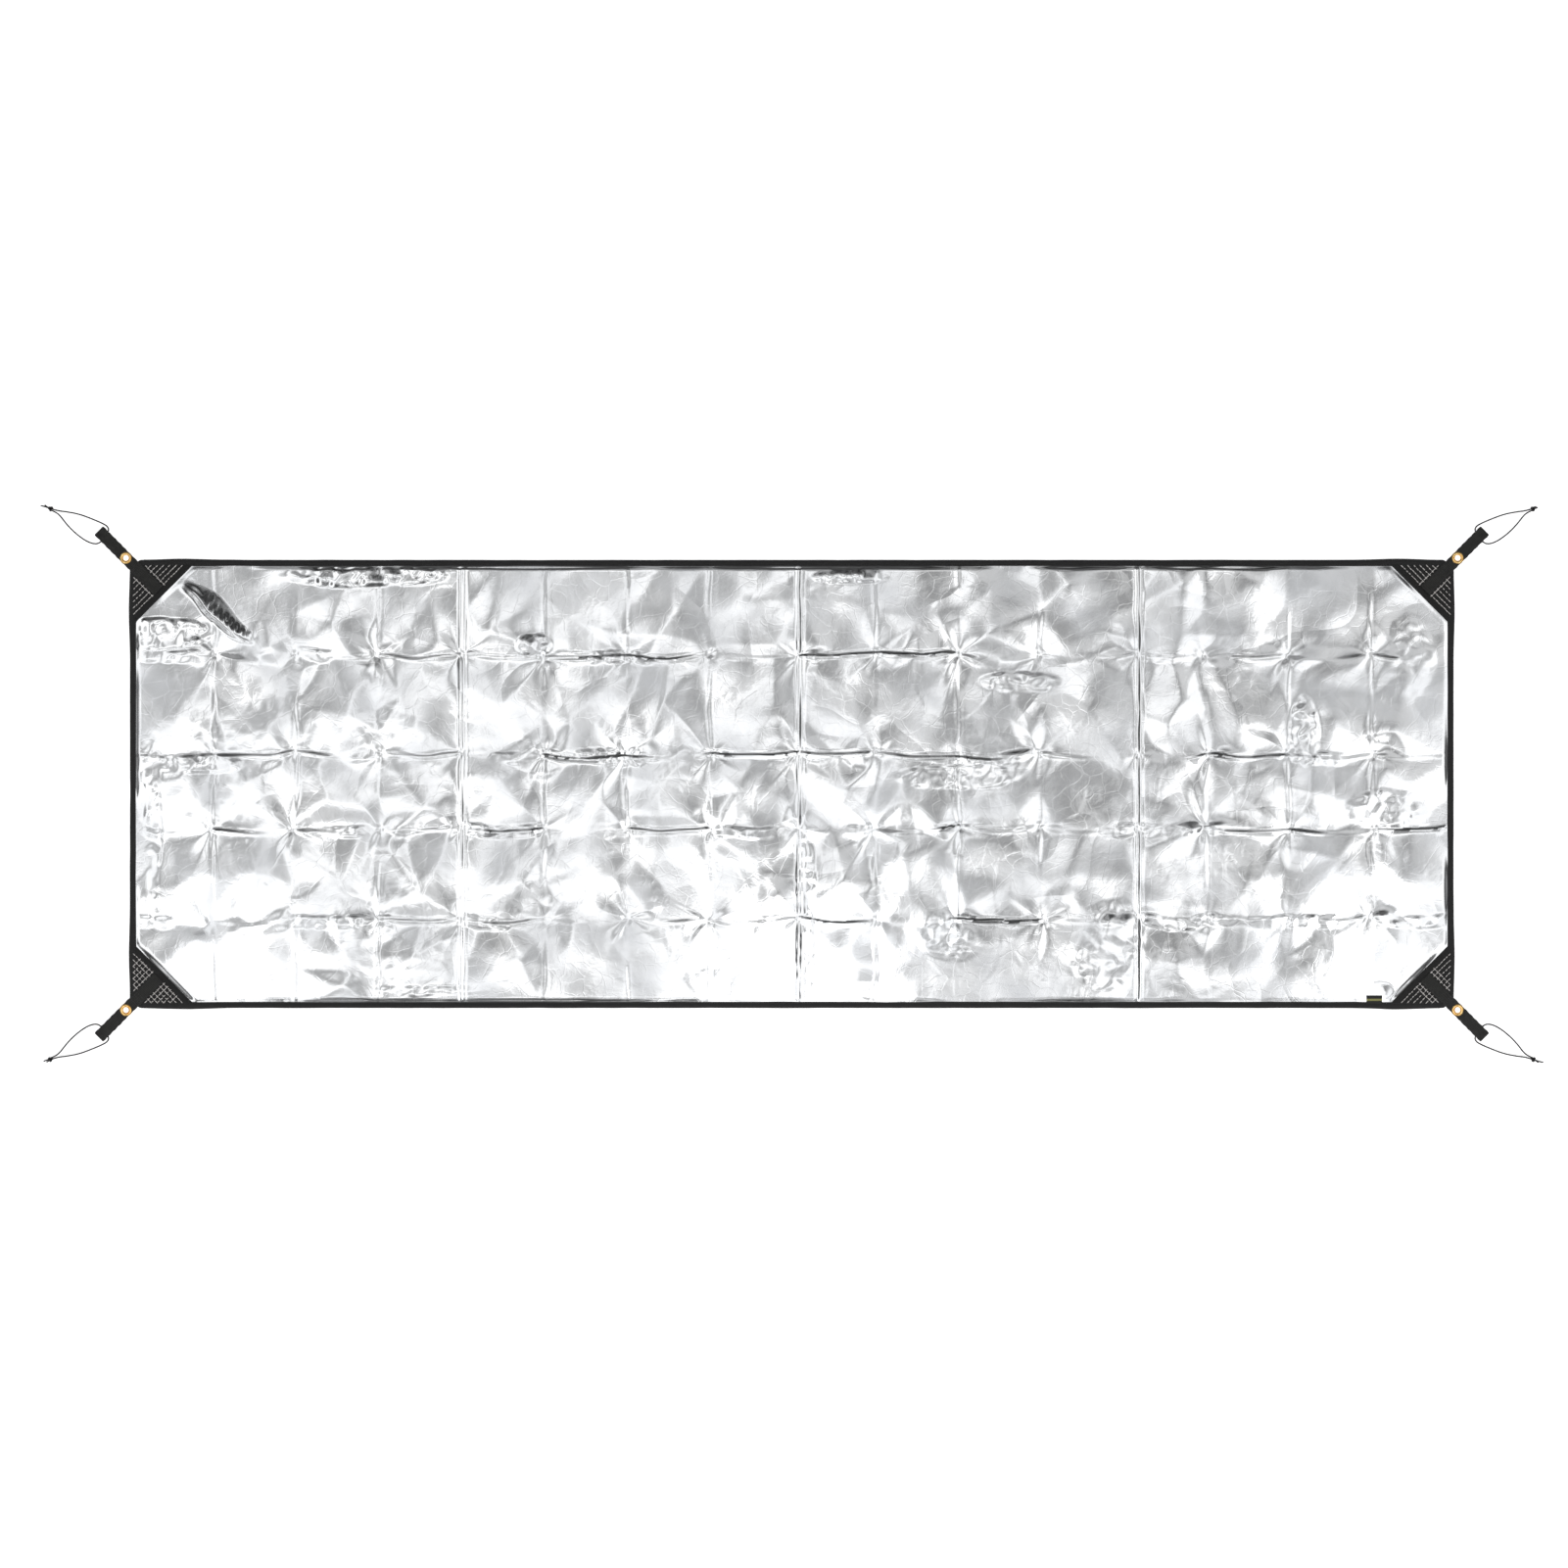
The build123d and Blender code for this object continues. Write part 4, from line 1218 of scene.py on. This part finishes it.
def setWorld():
    # a studio of soft grey screens, brighter low down and overhead than in between, with two bright strips
    world = bpy.data.worlds.new("studio")
    bpy.context.scene.world = world
    world.use_nodes = True
    add = partial(addNode, world.node_tree)
    direction = add("ShaderNodeTexCoord").outputs["Generated"]
    toward = add("ShaderNodeSeparateXYZ", {"Vector": direction}).outputs
    height = add("ShaderNodeValToRGB", {"Fac": toward["Z"]}, studio["heights"]).outputs["Color"]
    screens = add("ShaderNodeTexNoise", {"Vector": direction, "Scale": 6.0, "Detail": 0.8, "Roughness": 0.4})
    bright = add("ShaderNodeValToRGB", {"Fac": screens.outputs["Fac"]}, studio["greys"]).outputs["Color"]
    dimmed = add("ShaderNodeVectorMath", {0: bright, 1: height}, operation="MULTIPLY")
    backFade = add("ShaderNodeMapRange", {"Value": toward["Y"], "From Min": 0.18, "From Max": 0.5,
                                          "To Min": 1.0, "To Max": 0.3}).outputs["Result"]
    lowAround = add("ShaderNodeMapRange", {"Value": toward["Z"], "From Min": 0.4, "From Max": 0.56,
                                           "To Min": 1.0, "To Max": 0.0}).outputs["Result"]
    fade = add("ShaderNodeMath", {0: backFade, 1: lowAround}, operation="MAXIMUM")
    faded = add("ShaderNodeVectorMath", {0: dimmed.outputs["Vector"], "Scale": fade.outputs[0]}, operation="SCALE")
    # a strip on each side, which ends towards the back
    sideways = add("ShaderNodeMath", {0: toward["X"]}, operation="ABSOLUTE").outputs[0]
    strip = add("ShaderNodeMapRange", {"Value": sideways, "From Min": 0.24, "From Max": 0.27}).outputs["Result"]
    for value, low, high, most in ((sideways, 0.44, 0.48, 0.85), (toward["Y"], 0.25, 0.4, 1.0)):
        ending = add("ShaderNodeMapRange", {"Value": value, "From Min": low, "From Max": high, "To Min": most,
                                            "To Max": 0.0}).outputs["Result"]
        strip = add("ShaderNodeMath", {0: strip, 1: ending}, operation="MULTIPLY").outputs[0]
    room = add("ShaderNodeVectorMath", {0: faded.outputs["Vector"], 1: strip}, operation="MAXIMUM")
    seen = add("ShaderNodeMix", {"Factor": add("ShaderNodeLightPath").outputs["Is Camera Ray"],
                                 6: room.outputs["Vector"], 7: (0.72, 0.72, 0.72, 1)}, data_type="RGBA")
    background = world.node_tree.nodes["Background"].inputs
    world.node_tree.links.new(seen.outputs[2], background["Color"])
    background["Strength"].default_value = studio["strength"]


def setPanels():
    # low soft panels over the front half of the pad, with gaps that show as grey in the film
    for index, (x, wide) in enumerate(studio["panels"]):
        light = bpy.data.lights.new(f"lowPanel{index}", "AREA")
        light.shape = "RECTANGLE"
        light.size, light.size_y = wide, studio["panelDepth"]
        light.energy = wide * studio["panelDepth"] * math.pi
        holder = bpy.data.objects.new(light.name, light)
        holder.location = (x, *studio["panelPlace"])
        holder.visible_camera = False
        bpy.context.collection.objects.link(holder)


def setCamera():
    lens = bpy.data.cameras.new("topCamera")
    lens.lens = studio["lens"]
    lens.sensor_width = 36
    lens.clip_end = 50
    camera = bpy.data.objects.new("topCamera", lens)
    camera.location = studio["cameraPlace"]
    bpy.context.collection.objects.link(camera)
    bpy.context.scene.camera = camera


setStage()
setWorld()
setPanels()
setCamera()
bpy.context.scene.view_settings.view_transform = "Standard"
print("stage set")
